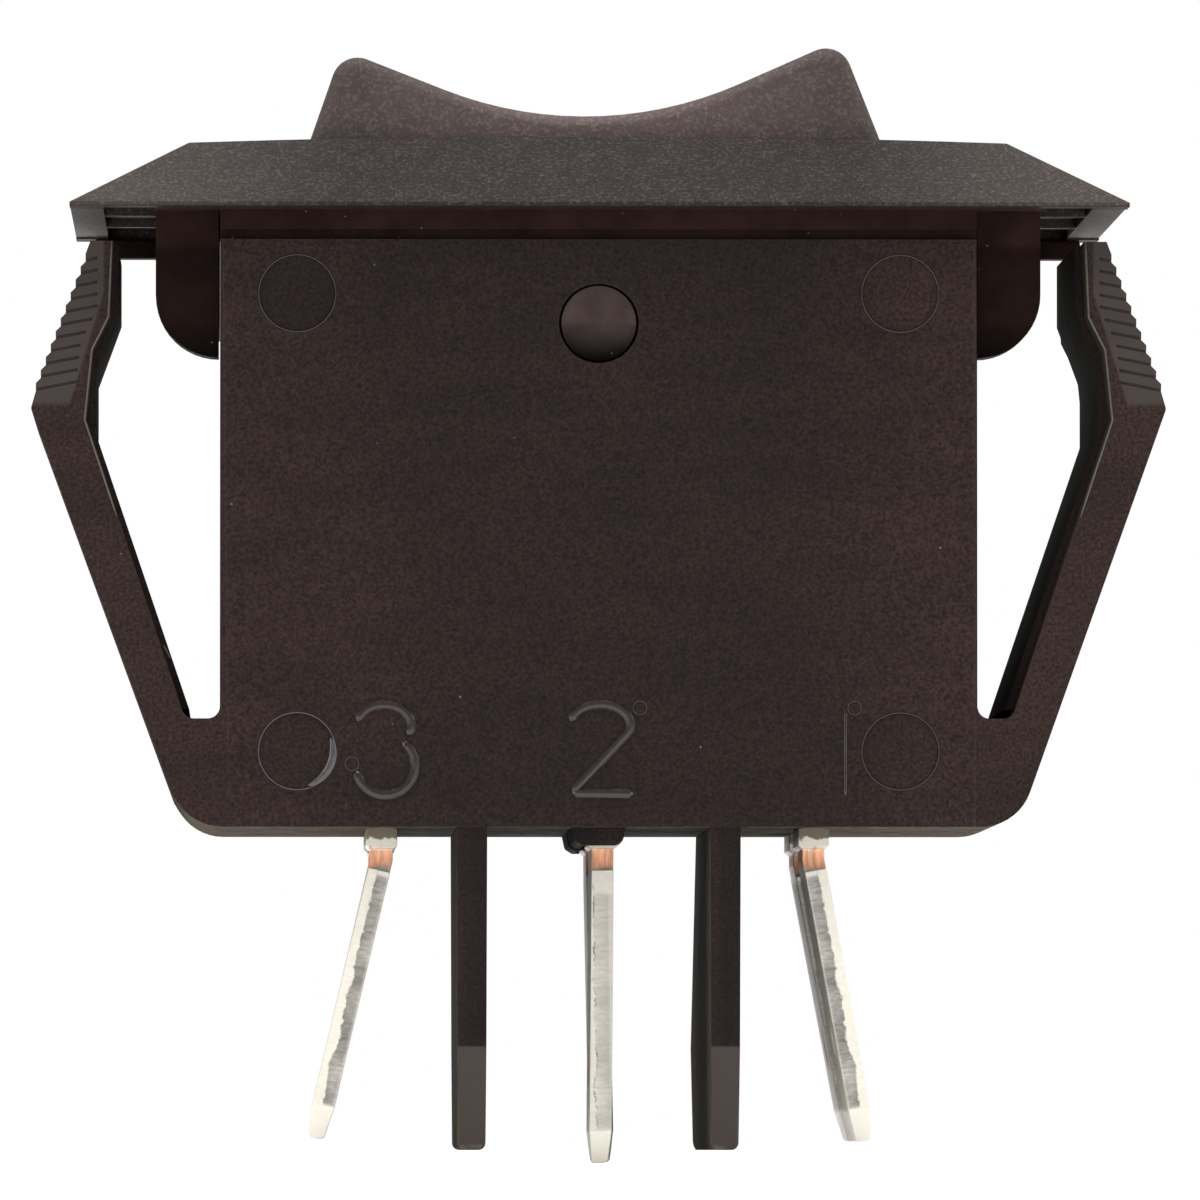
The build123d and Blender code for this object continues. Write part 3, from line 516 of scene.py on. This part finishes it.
def tinned_brass(settings, name, lightness, border, torn_share, line_share, fade):
    """Tin plate. The sheared edges are burnished cream on one side and torn grey on the other.

    The tab attribute holds the distance across the tab's thickness, the place along Y and the height
    above the tip. The border lies that far across, torn_share and line_share say how strong the torn
    part and the broken line along it are, and fade shades the torn part from one side to the other.
    """
    tip_end = 1.14 * MM
    torn_foot, torn_top = 1.25 * MM, 9.8 * MM
    line_foot, line_top = 1.3 * MM, 10.1 * MM
    edge_y = 3.1 * MM
    swage_foot = -23.6 * MM
    neck_foot, neck_top = -23.86 * MM, -23.19 * MM
    material, tree, shader, place = new_tree(name)
    tin = shade_of(settings.tin, lightness)
    attribute = tree.nodes.new("ShaderNodeAttribute")
    attribute.attribute_name = "tab"
    spot = attribute.outputs["Vector"]
    across = part_of(tree, spot, "X")
    along = part_of(tree, spot, "Z")
    height = part_of(tree, place, "Z")

    # The broad faces: even tin with fine scratches
    scratches = noise(tree, stretched(tree, spot, (1.0, 1.0, 0.2)), 0.18 * MM, 4.0, 0.7)
    cloud = steps(tree, noise(tree, spot, 0.9 * MM, 2.0), 0.35, 0.65, 0.86, 1.05)
    warm = (tin[0], tin[1] * 0.95, tin[2] * 0.9)
    broad = blend_colours(tree, steps(tree, scratches, 0.35, 0.65), shade_of(warm, 0.8), warm)
    darker_up = steps(tree, along, 0.0, 9.0 * MM, 1.05, 0.75)
    broad = tinted(tree, broad, product(tree, cloud, darker_up))

    # The sheared edges: a wavy limit between the burnished and the torn part, which is striped across
    wave = steps(tree, noise(tree, spot, 1.6 * MM, 3.0, 0.6), 0.3, 0.7, -0.09 * MM, 0.09 * MM)
    fine = steps(tree, noise(tree, spot, 0.18 * MM, 2.0), 0.3, 0.7, -0.04 * MM, 0.04 * MM)
    limit = combine(tree, "ADD", combine(tree, "ADD", wave, fine), border)
    beyond = combine(tree, "SUBTRACT", limit, across)
    torn = product(
        tree,
        steps(tree, beyond, -0.02 * MM, 0.04 * MM),
        lie_between(tree, along, torn_foot, torn_top, 0.06 * MM),
        steps(tree, across, -0.4 * MM, -0.3 * MM, 0.45, 1.0),
        torn_share,
    )
    rough = noise(tree, stretched(tree, spot, (0.25, 0.25, 1.0)), 0.14 * MM, 3.0, 0.75)
    rough = steps(tree, rough, 0.35, 0.65)
    grey = blend_colours(tree, rough, settings.torn, shade_of(settings.torn, 1.75))
    patches = steps(tree, noise(tree, spot, 1.6 * MM, 1.0), 0.35, 0.65, 0.8, 1.35)
    sideways = steps(tree, across, -0.4 * MM, 0.2 * MM, fade, 2.0 - fade)
    grey = tinted(tree, grey, product(tree, patches, sideways))
    cream = blend_colours(tree, rough, shade_of(tin, 0.94), shade_of(tin, 1.04))
    edge = blend_colours(tree, torn, cream, grey)
    line = product(
        tree,
        lie_between(tree, beyond, -0.01 * MM, 0.04 * MM, 0.02 * MM),
        steps(tree, noise(tree, spot, 0.7 * MM, 3.0, 0.8), 0.42, 0.58, 0.0, line_share),
        lie_between(tree, along, line_foot, line_top, 0.1 * MM),
    )
    edge = blend_colours(tree, line, edge, shade_of(settings.torn, 0.45))
    tip = steps(tree, along, tip_end - 0.04 * MM, tip_end + 0.04 * MM, 1.0, 0.0)
    edge = blend_colours(tree, tip, edge, shade_of(settings.tin, 1.18))
    aside = size_of(tree, part_of(tree, spot, "Y"))
    sheared = steps(tree, aside, edge_y - 0.02 * MM, edge_y + 0.03 * MM)
    swage = steps(tree, height, swage_foot, swage_foot + 0.1 * MM)
    edged = combine(tree, "MAXIMUM", combine(tree, "MAXIMUM", sheared, swage), tip)
    ground = blend_colours(tree, edged, broad, edge)

    # Bare copper at the neck, with a few drawn scratches and tin run over it, and a dark root above
    run = steps(tree, noise(tree, place, 0.3 * MM, 2.0), 0.3, 0.7, -0.12 * MM, 0.12 * MM)
    ragged = combine(tree, "ADD", height, run)
    neck = lie_between(tree, ragged, neck_foot, neck_top, 0.05 * MM)
    scar = noise(tree, stretched(tree, place, (1.0, 1.0, 0.15)), 0.16 * MM, 3.0, 0.7)
    scar = steps(tree, scar, 0.38, 0.6)
    copper = blend_colours(tree, scar, shade_of(settings.copper, 0.76), shade_of(settings.copper, 1.35))
    ground = blend_colours(tree, neck, ground, copper)
    root = steps(tree, ragged, BOTTOM - 0.45 * MM, BOTTOM - 0.35 * MM)
    ground = blend_colours(tree, root, ground, settings.root)
    tree.links.new(ground, shader.inputs["Base Color"])
    shader.inputs["Metallic"].default_value = 0.1
    gloss = steps(tree, combine(tree, "ADD", scratches, torn), 0.3, 1.4, 0.34, 0.62)
    tree.links.new(gloss, shader.inputs["Roughness"])
    relief(tree, shader, combine(tree, "ADD", scratches, product(tree, torn, rough)), 0.02 * MM, 0.6)
    return material


def natural_nylon(colour):
    """Uncoloured nylon, slightly cloudy."""
    material, tree, shader, place = new_tree("natural_nylon")
    cloud = noise(tree, place, 0.8 * MM)
    tree.links.new(blend_colours(tree, cloud, shade_of(colour, 0.9), colour), shader.inputs["Base Color"])
    tree.links.new(steps(tree, cloud, 0.3, 0.7, 0.35, 0.5), shader.inputs["Roughness"])
    relief(tree, shader, noise(tree, place, 0.2 * MM), 0.01 * MM, 0.4)
    return material


def rolled_metal(name, colour, roughness, streak):
    """Bare metal with rolling streaks along X."""
    material, tree, shader, place = new_tree(name)
    streaks = noise(tree, stretched(tree, place, (0.12, 1.0, 1.0)), streak, 3.0)
    ground = blend_colours(tree, streaks, shade_of(colour, 0.78), shade_of(colour, 1.12))
    tree.links.new(ground, shader.inputs["Base Color"])
    shader.inputs["Metallic"].default_value = 1.0
    dull = steps(tree, streaks, 0.3, 0.7, roughness - 0.07, roughness + 0.07)
    tree.links.new(dull, shader.inputs["Roughness"])
    relief(tree, shader, streaks, 0.008 * MM, 0.4)
    return material


def paint(thing, *materials):
    """Gives an object its material, and where there are two, the second for its rounded edges."""
    thing.data.materials.clear()
    for material in materials:
        thing.data.materials.append(material)


# Modelling


def deselect():
    """Leaves object mode with nothing selected."""
    if bpy.context.object and bpy.context.object.mode != "OBJECT":
        bpy.ops.object.mode_set(mode="OBJECT")
    bpy.ops.object.select_all(action="DESELECT")


def pick(thing):
    """Selects one object and makes it active."""
    deselect()
    thing.select_set(True)
    bpy.context.view_layer.objects.active = thing


def finish_piece(thing, name, body):
    """Names a piece, sets its place in its mesh, and says what it rides on."""
    pick(thing)
    bpy.ops.object.transform_apply(location=True, rotation=True, scale=True)
    bpy.ops.object.mode_set(mode="EDIT")
    bpy.ops.mesh.select_all(action="SELECT")
    bpy.ops.mesh.remove_doubles(threshold=0.0002 * MM)
    bpy.ops.mesh.normals_make_consistent(inside=False)
    bpy.ops.object.mode_set(mode="OBJECT")
    bpy.ops.object.shade_smooth_by_angle(angle=SMOOTH)
    thing.name = name
    thing.data.name = name
    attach(thing, body)


def rounded_copy(node, name, body, edge, materials, shape=None):
    """A copy of a CAD node with its triangles joined into whole faces and its edges rounded.

    Between the two, shape may work on the copy.
    """
    pick(frame["nodes"][node])
    bpy.ops.object.duplicate()
    copy = bpy.context.object
    world = copy.matrix_world.copy()
    copy.parent = None
    copy.matrix_world = world
    bpy.ops.object.mode_set(mode="EDIT")
    bpy.ops.mesh.select_all(action="SELECT")
    bpy.ops.mesh.remove_doubles(threshold=0.0005 * MM)
    bpy.ops.mesh.customdata_custom_splitnormals_clear()
    bpy.ops.mesh.dissolve_limited(angle_limit=math.radians(0.6))
    bpy.ops.object.mode_set(mode="OBJECT")
    paint(copy, *materials)
    if shape:
        shape(copy)
    rounding = copy.modifiers.new("Rounding", "BEVEL")
    rounding.material = len(materials) - 1
    rounding.width = edge
    rounding.segments = 2
    rounding.limit_method = "ANGLE"
    rounding.angle_limit = SMOOTH
    rounding.use_clamp_overlap = True
    bpy.ops.object.modifier_apply(modifier=rounding.name)
    finish_piece(copy, name, body)
    even = copy.modifiers.new("Even", "WEIGHTED_NORMAL")
    even.keep_sharp = True
    bpy.ops.object.modifier_apply(modifier=even.name)
    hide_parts(node)
    return copy


def round_edges(thing, chosen, radius, segments):
    """Rounds the edges that the test chooses by their two ends."""
    pick(thing)
    bpy.ops.object.mode_set(mode="EDIT")
    bpy.ops.mesh.select_mode(type="EDGE")
    bpy.ops.mesh.select_all(action="DESELECT")
    bpy.ops.object.mode_set(mode="OBJECT")
    points = [vertex.co for vertex in thing.data.vertices]
    for edge in thing.data.edges:
        edge.select = bool(chosen(points[edge.vertices[0]], points[edge.vertices[1]]))
    bpy.ops.object.mode_set(mode="EDIT")
    bpy.ops.mesh.bevel(offset=radius, segments=segments, affect="EDGES", clamp_overlap=False)
    bpy.ops.mesh.select_mode(type="VERT")
    bpy.ops.object.mode_set(mode="OBJECT")


def arc(x, z, across, up, start, stop):
    """Points on the front wall along an arc. Millimetres and degrees."""
    swept = 5.0
    count = max(4, round(abs(stop - start) * max(across, up) / swept))
    points = []
    for index in range(count + 1):
        angle = math.radians(start + (stop - start) * index / count)
        points.append(Vector(((x + across * math.cos(angle)) * MM, FRONT, (z + up * math.sin(angle)) * MM)))
    return points


def between(start, stop):
    """Points on a straight line from start to stop, about 0.1 mm apart."""
    count = max(2, round((stop - start).length / (0.1 * MM)))
    return [start.lerp(stop, index / count) for index in range(count + 1)]


def line(x, z, end_x, end_z):
    """Points on the front wall along a line, in millimetres."""
    return between(Vector((x * MM, FRONT, z * MM)), Vector((end_x * MM, FRONT, end_z * MM)))


def bead(points, width, height, material, least=0.3, taper=None):
    """A raised line along points on a wall: a point drawn along its path, then given a round section.

    Its ends taper to the least share of its width, over half its width or the length asked for.
    """
    taper = taper or width / 2
    deselect()
    bpy.ops.mesh.primitive_plane_add(size=width, location=points[0])
    bpy.ops.object.mode_set(mode="EDIT")
    bpy.ops.mesh.select_all(action="SELECT")
    bpy.ops.mesh.merge(type="CENTER")
    for here, there in zip(points, points[1:]):
        bpy.ops.mesh.extrude_region_move(TRANSFORM_OT_translate={"value": there - here})
    bpy.ops.object.mode_set(mode="OBJECT")
    bpy.ops.object.convert(target="CURVE")
    curve = bpy.context.object.data
    curve.bevel_depth = width / 2
    curve.bevel_resolution = 3
    curve.use_fill_caps = True
    knots = curve.splines[0].points
    travelled = 0.0
    reach = sum((there.co - here.co).length for here, there in zip(knots, knots[1:]))
    previous = knots[0]
    for knot in knots:
        travelled += (knot.co - previous.co).length
        previous = knot
        to_end = min(travelled, reach - travelled, taper)
        knot.radius = max(least, math.sqrt(1.0 - (1.0 - to_end / taper) ** 2))
    bpy.ops.object.convert(target="MESH")
    thing = bpy.context.object
    thing.scale.y = 2 * height / width
    bpy.ops.object.transform_apply(location=True, rotation=True, scale=True)
    paint(thing, material)
    return thing


def ring(x, z, radius, width, material):
    """A closed round bead on the front wall. The place and the radius are in millimetres."""
    return bead(arc(x, z, radius, radius, 0, 360), width, width / 2, material, 1.0)


def joined(things):
    """Several objects made one."""
    if len(things) == 1:
        return things[0]
    deselect()
    for thing in things:
        thing.select_set(True)
    bpy.context.view_layer.objects.active = things[0]
    bpy.ops.object.join()
    return bpy.context.object


# Operators, one for each piece or group of like pieces


class SWITCH_OT_mouldings(bpy.types.Operator):
    """Round the edges of the housing, the bezel and the rocker, and give them their nylon"""

    bl_idname = "switch.mouldings"
    bl_label = "Mouldings"

    def execute(self, context):
        settings = context.scene.switch_mouldings
        walls = housing_nylon(settings, "smooth_nylon", lightness=1.0, gloss=0.14)
        # The housing's rounded edges get a lighter, glossier copy of its nylon: painted highlights along the
        # edges
        edges = housing_nylon(settings, "smooth_nylon_edge_highlights", lightness=2.3, gloss=0.3)
        flange = grained_nylon(
            settings, "grained_nylon", 0.76, middle=1.0, contrast=1.1, hidden=settings.shaded_skirt
        )
        # The rocker's copy of the bezel's nylon is lighter, and lighter again in its middle: painted light
        # on its front
        rocker = grained_nylon(
            settings, "grained_nylon_rocker", 2.2, middle=1.45, contrast=0.5, hidden=settings.trunnion
        )
        edge = settings.edge
        rounded_copy(
            "housing", "housing_moulding", "base", edge, (walls, edges), self.soften
        )
        rounded_copy("bezel", "bezel_moulding", "base", edge, (flange,))
        rounded_copy("rocker", "rocker_moulding", "rocker", edge, (rocker,))
        self.collar_ends(flange)
        self.wing_edge_highlights(settings.wing_edge)
        return {"FINISHED"}

    def soften(self, housing):
        """Fits the pads, a corner and a barrier to the real ones, and rounds the tips and the pads."""
        self.narrow_pads(housing)
        self.trim_corner(housing)
        self.skew_barrier(housing)
        self.round_tips(housing)

    def narrow_pads(self, housing):
        """The pads round the middle terminals are narrower at their undersides than at their roots."""
        reach = 1.2 * MM
        share = 0.86
        for vertex in housing.data.vertices:
            if self.on_pad(vertex.co) and abs(vertex.co.x) < reach:
                vertex.co.x *= share

    def on_pad(self, place):
        """Whether a place is at the height of the pads' undersides."""
        return BOTTOM - 0.7 * MM < place.z < BOTTOM - 0.6 * MM

    def trim_corner(self, housing):
        """The lower left corner comes in a little more with each step down."""
        corner_x, corner_z = -13.5 * MM, -20.3 * MM
        drop = 1.2 * MM
        most = 0.2 * MM
        for vertex in housing.data.vertices:
            place = vertex.co
            if place.x < corner_x and place.z < corner_z:
                place.x += most * min(1.0, (corner_z - place.z) / drop)

    def skew_barrier(self, housing):
        """The left face of the right barrier leans outwards towards the back."""
        low_x, high_x = 3.5 * MM, 4.2 * MM
        depth = 9.0 * MM
        most = 0.2 * MM
        for vertex in housing.data.vertices:
            place = vertex.co
            if place.z < BOTTOM - 0.1 * MM and low_x < place.x < high_x:
                place.x -= most * max(0.0, place.y) / depth

    def round_tips(self, housing):
        """Rounds the barriers' tips and the lower corners of the pads."""
        tip_z = -33.7 * MM
        pad_low, pad_high = 0.7 * MM, 1.0 * MM

        def on_tip(a, b):
            return max(a.z, b.z) < tip_z and abs(a.x - b.x) < 0.1 * MM

        def on_corner(a, b):
            level = self.on_pad(a) and self.on_pad(b)
            return level and abs(a.x - b.x) < 0.01 * MM and pad_low < abs(a.x) < pad_high

        round_edges(housing, on_tip, 0.25 * MM, 4)
        round_edges(housing, on_corner, 0.24 * MM, 4)

    def collar_ends(self, material):
        """The collar runs on under both ends of the flange at the back, beyond the wings."""
        centre = (17.3 * MM, 11.2 * MM, -0.36 * MM)
        size = (2.4 * MM, 1.2 * MM, 0.72 * MM)
        ends = []
        for way in (-1, 1):
            deselect()
            bpy.ops.mesh.primitive_cube_add(size=1.0, location=(way * centre[0], centre[1], centre[2]))
            end = bpy.context.object
            end.scale = size
            bpy.ops.object.transform_apply(location=True, rotation=True, scale=True)
            rounding = end.modifiers.new("Rounding", "BEVEL")
            rounding.width = 0.12 * MM
            rounding.segments = 3
            bpy.ops.object.modifier_apply(modifier=rounding.name)
            paint(end, material)
            ends.append(end)
        finish_piece(joined(ends), "collar_ends", "base")

    def wing_edge_highlights(self, colour):
        """A pale bead paints a highlight along the inner edge of each wing's front face, down to a little
        below the elbow.
        """
        highlit = raised_nylon("highlit_edge", tuple(colour))
        width = 0.08 * MM
        lines = [bead(self.wing_edge(way), width, width / 2, highlit, 0.4, 1.0 * MM) for way in (-1, 1)]
        finish_piece(joined(lines), "wing_edge_highlights", "base")

    def wing_edge(self, way):
        """Points from the top down along the inner edge of the front face of one wing.

        Corners are rounded to a thousandth of a millimetre, so that each counts once.
        """
        face_y = FRONT + WING_INSET
        wall_x = 13.5 * MM
        inset = 0.05 * MM
        lowest = -11.2 * MM
        node = frame["nodes"]["housing"]
        ends = set()
        for face in node.data.polygons:
            if way * face.normal.x > -0.6:
                continue
            for index in face.vertices:
                place = node.matrix_world @ node.data.vertices[index].co
                at_front = abs(place.y - face_y) < 0.01 * MM
                if at_front and way * place.x > wall_x:
                    ends.add((round(place.z, 6), round(place.x, 6)))
        corners = [Vector((x + way * inset, face_y, z)) for z, x in sorted(ends, reverse=True)]
        if len(corners) < 3:
            raise RuntimeError("no inner edge was found on a wing")
        points = [corners[0]]
        for here, there in zip(corners, corners[1:]):
            points += between(here, there)[1:]
        return [point for point in points if point.z > lowest]


class SWITCH_OT_terminals(bpy.types.Operator):
    """Round the terminals' sheared edges and tin them, with bare copper at the necks"""

    bl_idname = "switch.terminals"
    bl_label = "Terminals"

    def execute(self, context):
        settings = context.scene.switch_terminals
        outer = tinned_brass(
            settings, "tin_outer", 1.06, border=0.07 * MM, torn_share=1.0, line_share=0.35, fade=1.15
        )
        middle = tinned_brass(
            settings, "tin_middle", 0.88, border=0.2 * MM, torn_share=0.5, line_share=0.9, fade=0.6
        )
        for node in TERMINALS:
            tip = Vector(tabs[node + "_tab"]["pos_m"])
            axis = Vector(tabs[node + "_tab"]["axis"])
            in_middle = node in MIDDLE_TERMINALS
            material = middle if in_middle else outer

            def shape(copy, tip=tip, axis=axis, in_middle=in_middle):
                self.blunt(copy, tip, axis)
                if in_middle:
                    self.straighten(copy, tip)

            name = node + "_tab"
            piece = rounded_copy(node, name, "base", settings.edge, (material,), shape)
            self.measure(piece, tip, axis, in_middle)
        return {"FINISHED"}

    def blunt(self, piece, tip, axis):
        """Thickens the tip of the tab and rounds its corners."""
        across = Vector((-axis.z, 0, axis.x))
        thickening = 0.3

        def at_tip(place):
            return (tip - place).dot(axis) < 0.03 * MM

        for vertex in piece.data.vertices:
            if at_tip(vertex.co):
                vertex.co += thickening * (vertex.co - tip).dot(across) * across
        round_edges(piece, lambda a, b: at_tip(a) and at_tip(b) and abs(a.y - b.y) > 1.0 * MM, 0.14 * MM, 3)

    def straighten(self, piece, tip):
        """Stands a middle tab upright under the middle of its pad."""
        length = 11.2 * MM
        at_neck, at_tip = 0.18 * MM, -0.06 * MM
        for vertex in piece.data.vertices:
            share = min(1.0, (vertex.co.z - tip.z) / length)
            vertex.co.x += at_tip + (at_neck - at_tip) * share

    def measure(self, piece, tip, axis, in_middle):
        """Notes at each point how far it is across the tab, along Y and above the tip."""
        across = Vector((-axis.z, 0, axis.x))
        outward = -1.0 if in_middle or tip.x < 0 else 1.0
        spots = piece.data.attributes.new("tab", "FLOAT_VECTOR", "POINT")
        for vertex, spot in zip(piece.data.vertices, spots.data):
            reach = vertex.co - tip
            spot.vector = (outward * reach.dot(across), reach.y, -reach.dot(axis))


class SWITCH_OT_digits(bpy.types.Operator):
    """Raise the terminals' digits and the small rings on the front wall, and the nub on the left wing"""

    bl_idname = "switch.digits"
    bl_label = "Digits"

    def execute(self, context):
        settings = context.scene.switch_digits
        nylon = raised_nylon("raised_nylon", tuple(context.scene.switch_mouldings.housing))
        bow = arc(0.06, -18.74, 1.09, 0.75, 170, -15)
        digits = {
            "digit_1": [line(8.95, -18.29, 8.95, -21.3)],
            "digit_2": [
                bow + line(bow[-1].x / MM, bow[-1].z / MM, -0.96, -21.16)[1:],
                line(-0.96, -21.2, 1.25, -21.23),
            ],
            "digit_3": [
                arc(-7.79, -18.74, 0.98, 0.73, 170, -30),
                arc(-7.74, -20.22, 1.07, 1.06, 55, -170),
            ],
        }
        for name, paths in digits.items():
            share = 0.35 if name == "digit_1" else 1.0
            width, height = settings.stroke * share, settings.relief * share
            strokes = [bead(path, width, height, nylon) for path in paths]
            finish_piece(joined(strokes), name, "base")
        nub_top = Vector((-15.78 * MM, FRONT, -15.85 * MM))
        nub_foot = Vector((-15.55 * MM, FRONT, -16.3 * MM))
        nub = bead([nub_top, nub_foot], 0.26 * MM, 0.12 * MM, nylon)
        finish_piece(nub, "wing_nub", "base")
        centres = ((-8.96, -20.14), (1.49, -18.11), (9.29, -18.11))
        rings = [ring(x, z, 0.25, settings.ring, nylon) for x, z in centres]
        finish_piece(joined(rings), "mould_rings", "base")
        return {"FINISHED"}


class SWITCH_OT_marks(bpy.types.Operator):
    """Raise the thin flash round the ejector marks, wide at the lower right of the lower left one, where
    pale beads paint the highlight on its lit rim
    """

    bl_idname = "switch.marks"
    bl_label = "Ejector marks"

    def execute(self, context):
        settings = context.scene.switch_digits
        nylon = bpy.data.materials["raised_nylon"]
        pale = raised_nylon("pale_flash", tuple(settings.flash))
        highlit = (-MARK_X, MARK_FOOT)
        flash = []
        # The lower left mark's ring and crescent are pale: a painted highlight on its lit rim
        for centre in ((-MARK_X, MARK_TOP), (MARK_X, MARK_TOP), highlit, (MARK_X, MARK_FOOT)):
            if centre == highlit:
                flash.append(ring(*centre, MARK_RADIUS, 0.7 * settings.ring, pale))
            else:
                flash.append(ring(*centre, MARK_RADIUS, settings.ring, nylon))
        inner = MARK_RADIUS - 0.09
        crescent = arc(*highlit, inner, inner, -72, 22)
        flash.append(bead(crescent, 4.2 * settings.ring, settings.ring, pale, 0.1, 1.0 * MM))
        finish_piece(joined(flash), "mark_flash", "base")
        return {"FINISHED"}


class SWITCH_OT_works(bpy.types.Operator):
    """Finish the plungers, springs, contact bars and contacts inside"""

    bl_idname = "switch.works"
    bl_label = "Works"

    def execute(self, context):
        settings = context.scene.switch_works
        nylon = natural_nylon(tuple(settings.nylon))
        copper = rolled_metal("bar_copper", tuple(settings.bar), 0.38, 0.4 * MM)
        silver = rolled_metal("contact_silver", tuple(settings.silver), 0.32, 0.3 * MM)
        steel = rolled_metal("spring_steel", tuple(settings.steel), 0.3, 0.2 * MM)
        for name, node in frame["nodes"].items():
            if name.startswith("plunger"):
                paint(node, nylon)
            elif name.startswith("contact_bar"):
                paint(node, copper)
            elif "_contact_" in name:
                paint(node, silver)
        for joint in frame["record"]["behaviour"]["joints"]:
            for spring in joint.get("deforming_nodes", ()):
                self.coil(spring, joint, steel)
        return {"FINISHED"}

    def coil(self, spring, joint, steel):
        """A spring with rounded wire, on a mesh of its own; the real spring shortens as its plunger slides
        in.
        """
        wire_edge = 0.05 * MM
        node = spring["node"]
        piece = rounded_copy(node, node + "_coil", joint["parent"], wire_edge, (steel,))
        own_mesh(piece)


class SWITCH_OT_stage(bpy.types.Operator):
    """Lay the floor, hang the lights and stand the camera as the photograph has them"""

    bl_idname = "switch.stage"
    bl_label = "Stage"

    def execute(self, context):
        settings = context.scene.switch_stage
        self.floor(settings)
        self.tent()
        self.lamp("top", place=(0.0, -0.1, 0.55), target=(0.0, 0.0, -0.01), size=0.5, power=3.5)
        self.lamp("left", place=(-0.5, -0.25, 0.12), target=(0.0, 0.0, -0.015), size=0.4, power=1.3)
        self.lamp("right", place=(0.5, -0.2, 0.16), target=(0.0, 0.0, -0.015), size=0.4, power=1.3)
        self.camera(context, settings)
        return {"FINISHED"}

    def floor(self, settings):
        """A pale floor that glows to the camera and in reflections, and keeps the shadow."""
        deselect()
        bpy.ops.mesh.primitive_grid_add(size=4.0, x_subdivisions=4, y_subdivisions=4, location=(0, 0, FLOOR))
        floor = bpy.context.object
        bpy.ops.object.transform_apply(location=True)
        floor.name = "floor"
        material, tree, shader, place = new_tree("floor")
        colour = tuple(settings.floor)
        ground = blend_colours(tree, noise(tree, place, 50.0 * MM), shade_of(colour, 0.985), colour)
        tree.links.new(ground, shader.inputs["Base Color"])
        shader.inputs["Roughness"].default_value = 0.9
        shader.inputs["Specular IOR Level"].default_value = 0.0
        tree.links.new(ground, shader.inputs["Emission Color"])
        path = tree.nodes.new("ShaderNodeLightPath")
        seen = combine(tree, "MAXIMUM", path.outputs["Is Camera Ray"], path.outputs["Is Glossy Ray"])
        lift = 0.75 if settings.shadow else 1.0
        tree.links.new(product(tree, seen, lift), shader.inputs["Emission Strength"])
        paint(floor, material)

    def tent(self):
        """A white world, brighter to the camera than to the switch."""
        lighting, background = 0.55, 1.0
        world = bpy.data.worlds.new("tent")
        world.use_nodes = True
        bpy.context.scene.world = world
        tree = world.node_tree
        ground = tree.nodes["Background"]
        ground.inputs["Color"].default_value = (1.0, 1.0, 1.0, 1.0)
        path = tree.nodes.new("ShaderNodeLightPath")
        seen = steps(tree, path.outputs["Is Camera Ray"], 0.0, 1.0, lighting, background)
        tree.links.new(seen, ground.inputs["Strength"])

    def lamp(self, name, place, target, size, power):
        """A square soft light, aimed at the switch."""
        deselect()
        bpy.ops.object.light_add(type="AREA", location=place)
        lamp = bpy.context.object
        lamp.name = name
        lamp.data.shape = "SQUARE"
        lamp.data.size = size
        lamp.data.energy = power
        aim = Vector(target) - Vector(place)
        lamp.rotation_euler = aim.to_track_quat("-Z", "Y").to_euler()

    def camera(self, context, settings):
        """A long lens just above the floor, a little to the left, aimed at the middle of the front."""
        target = Vector((0.04 * MM, FRONT, -14.2 * MM))
        place = Vector((-settings.left, FRONT - settings.distance, FLOOR + 0.6 * MM))
        shown = 43.55 * MM
        sensor = 36.0
        deselect()
        bpy.ops.object.camera_add(location=place)
        camera = bpy.context.object
        aim = target - place
        camera.rotation_euler = aim.to_track_quat("-Z", "Y").to_euler()
        camera.data.sensor_width = sensor
        camera.data.lens = sensor * aim.length / shown
        camera.data.clip_start = 0.01
        camera.data.clip_end = 10.0
        context.scene.camera = camera
        context.scene.view_settings.view_transform = "Standard"


class SWITCH_PT_panel(bpy.types.Panel):
    """Lists the steps and the sizes and colours of the rocker switch"""

    bl_label = "Rocker Switch"
    bl_idname = "SWITCH_PT_panel"
    bl_space_type = "VIEW_3D"
    bl_region_type = "UI"
    bl_category = "Rocker Switch"

    def draw(self, context):
        for group, operator in STEPS:
            box = self.layout.box()
            settings = getattr(context.scene, group)
            for name in settings.__annotations__:
                box.prop(settings, name)
            box.operator(operator.bl_idname)


GROUPS = {
    "switch_mouldings": MouldingSettings,
    "switch_terminals": TerminalSettings,
    "switch_digits": DigitSettings,
    "switch_works": WorksSettings,
    "switch_stage": StageSettings,
}
STEPS = (
    ("switch_mouldings", SWITCH_OT_mouldings),
    ("switch_terminals", SWITCH_OT_terminals),
    ("switch_digits", SWITCH_OT_digits),
    ("switch_digits", SWITCH_OT_marks),
    ("switch_works", SWITCH_OT_works),
    ("switch_stage", SWITCH_OT_stage),
)


def register():
    for group in GROUPS.values():
        bpy.utils.register_class(group)
    for group, operator in STEPS:
        bpy.utils.register_class(operator)
    bpy.utils.register_class(SWITCH_PT_panel)
    for name, group in GROUPS.items():
        setattr(bpy.types.Scene, name, PointerProperty(type=group))


def unregister():
    for name in GROUPS:
        delattr(bpy.types.Scene, name)
    bpy.utils.unregister_class(SWITCH_PT_panel)
    for group, operator in STEPS:
        bpy.utils.unregister_class(operator)
    for group in GROUPS.values():
        bpy.utils.unregister_class(group)


def main():
    """Registers the add-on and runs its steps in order."""
    register()
    bpy.ops.switch.mouldings()
    bpy.ops.switch.terminals()
    bpy.ops.switch.digits()
    bpy.ops.switch.marks()
    bpy.ops.switch.works()
    bpy.ops.switch.stage()


if __name__ == "__main__":
    main()
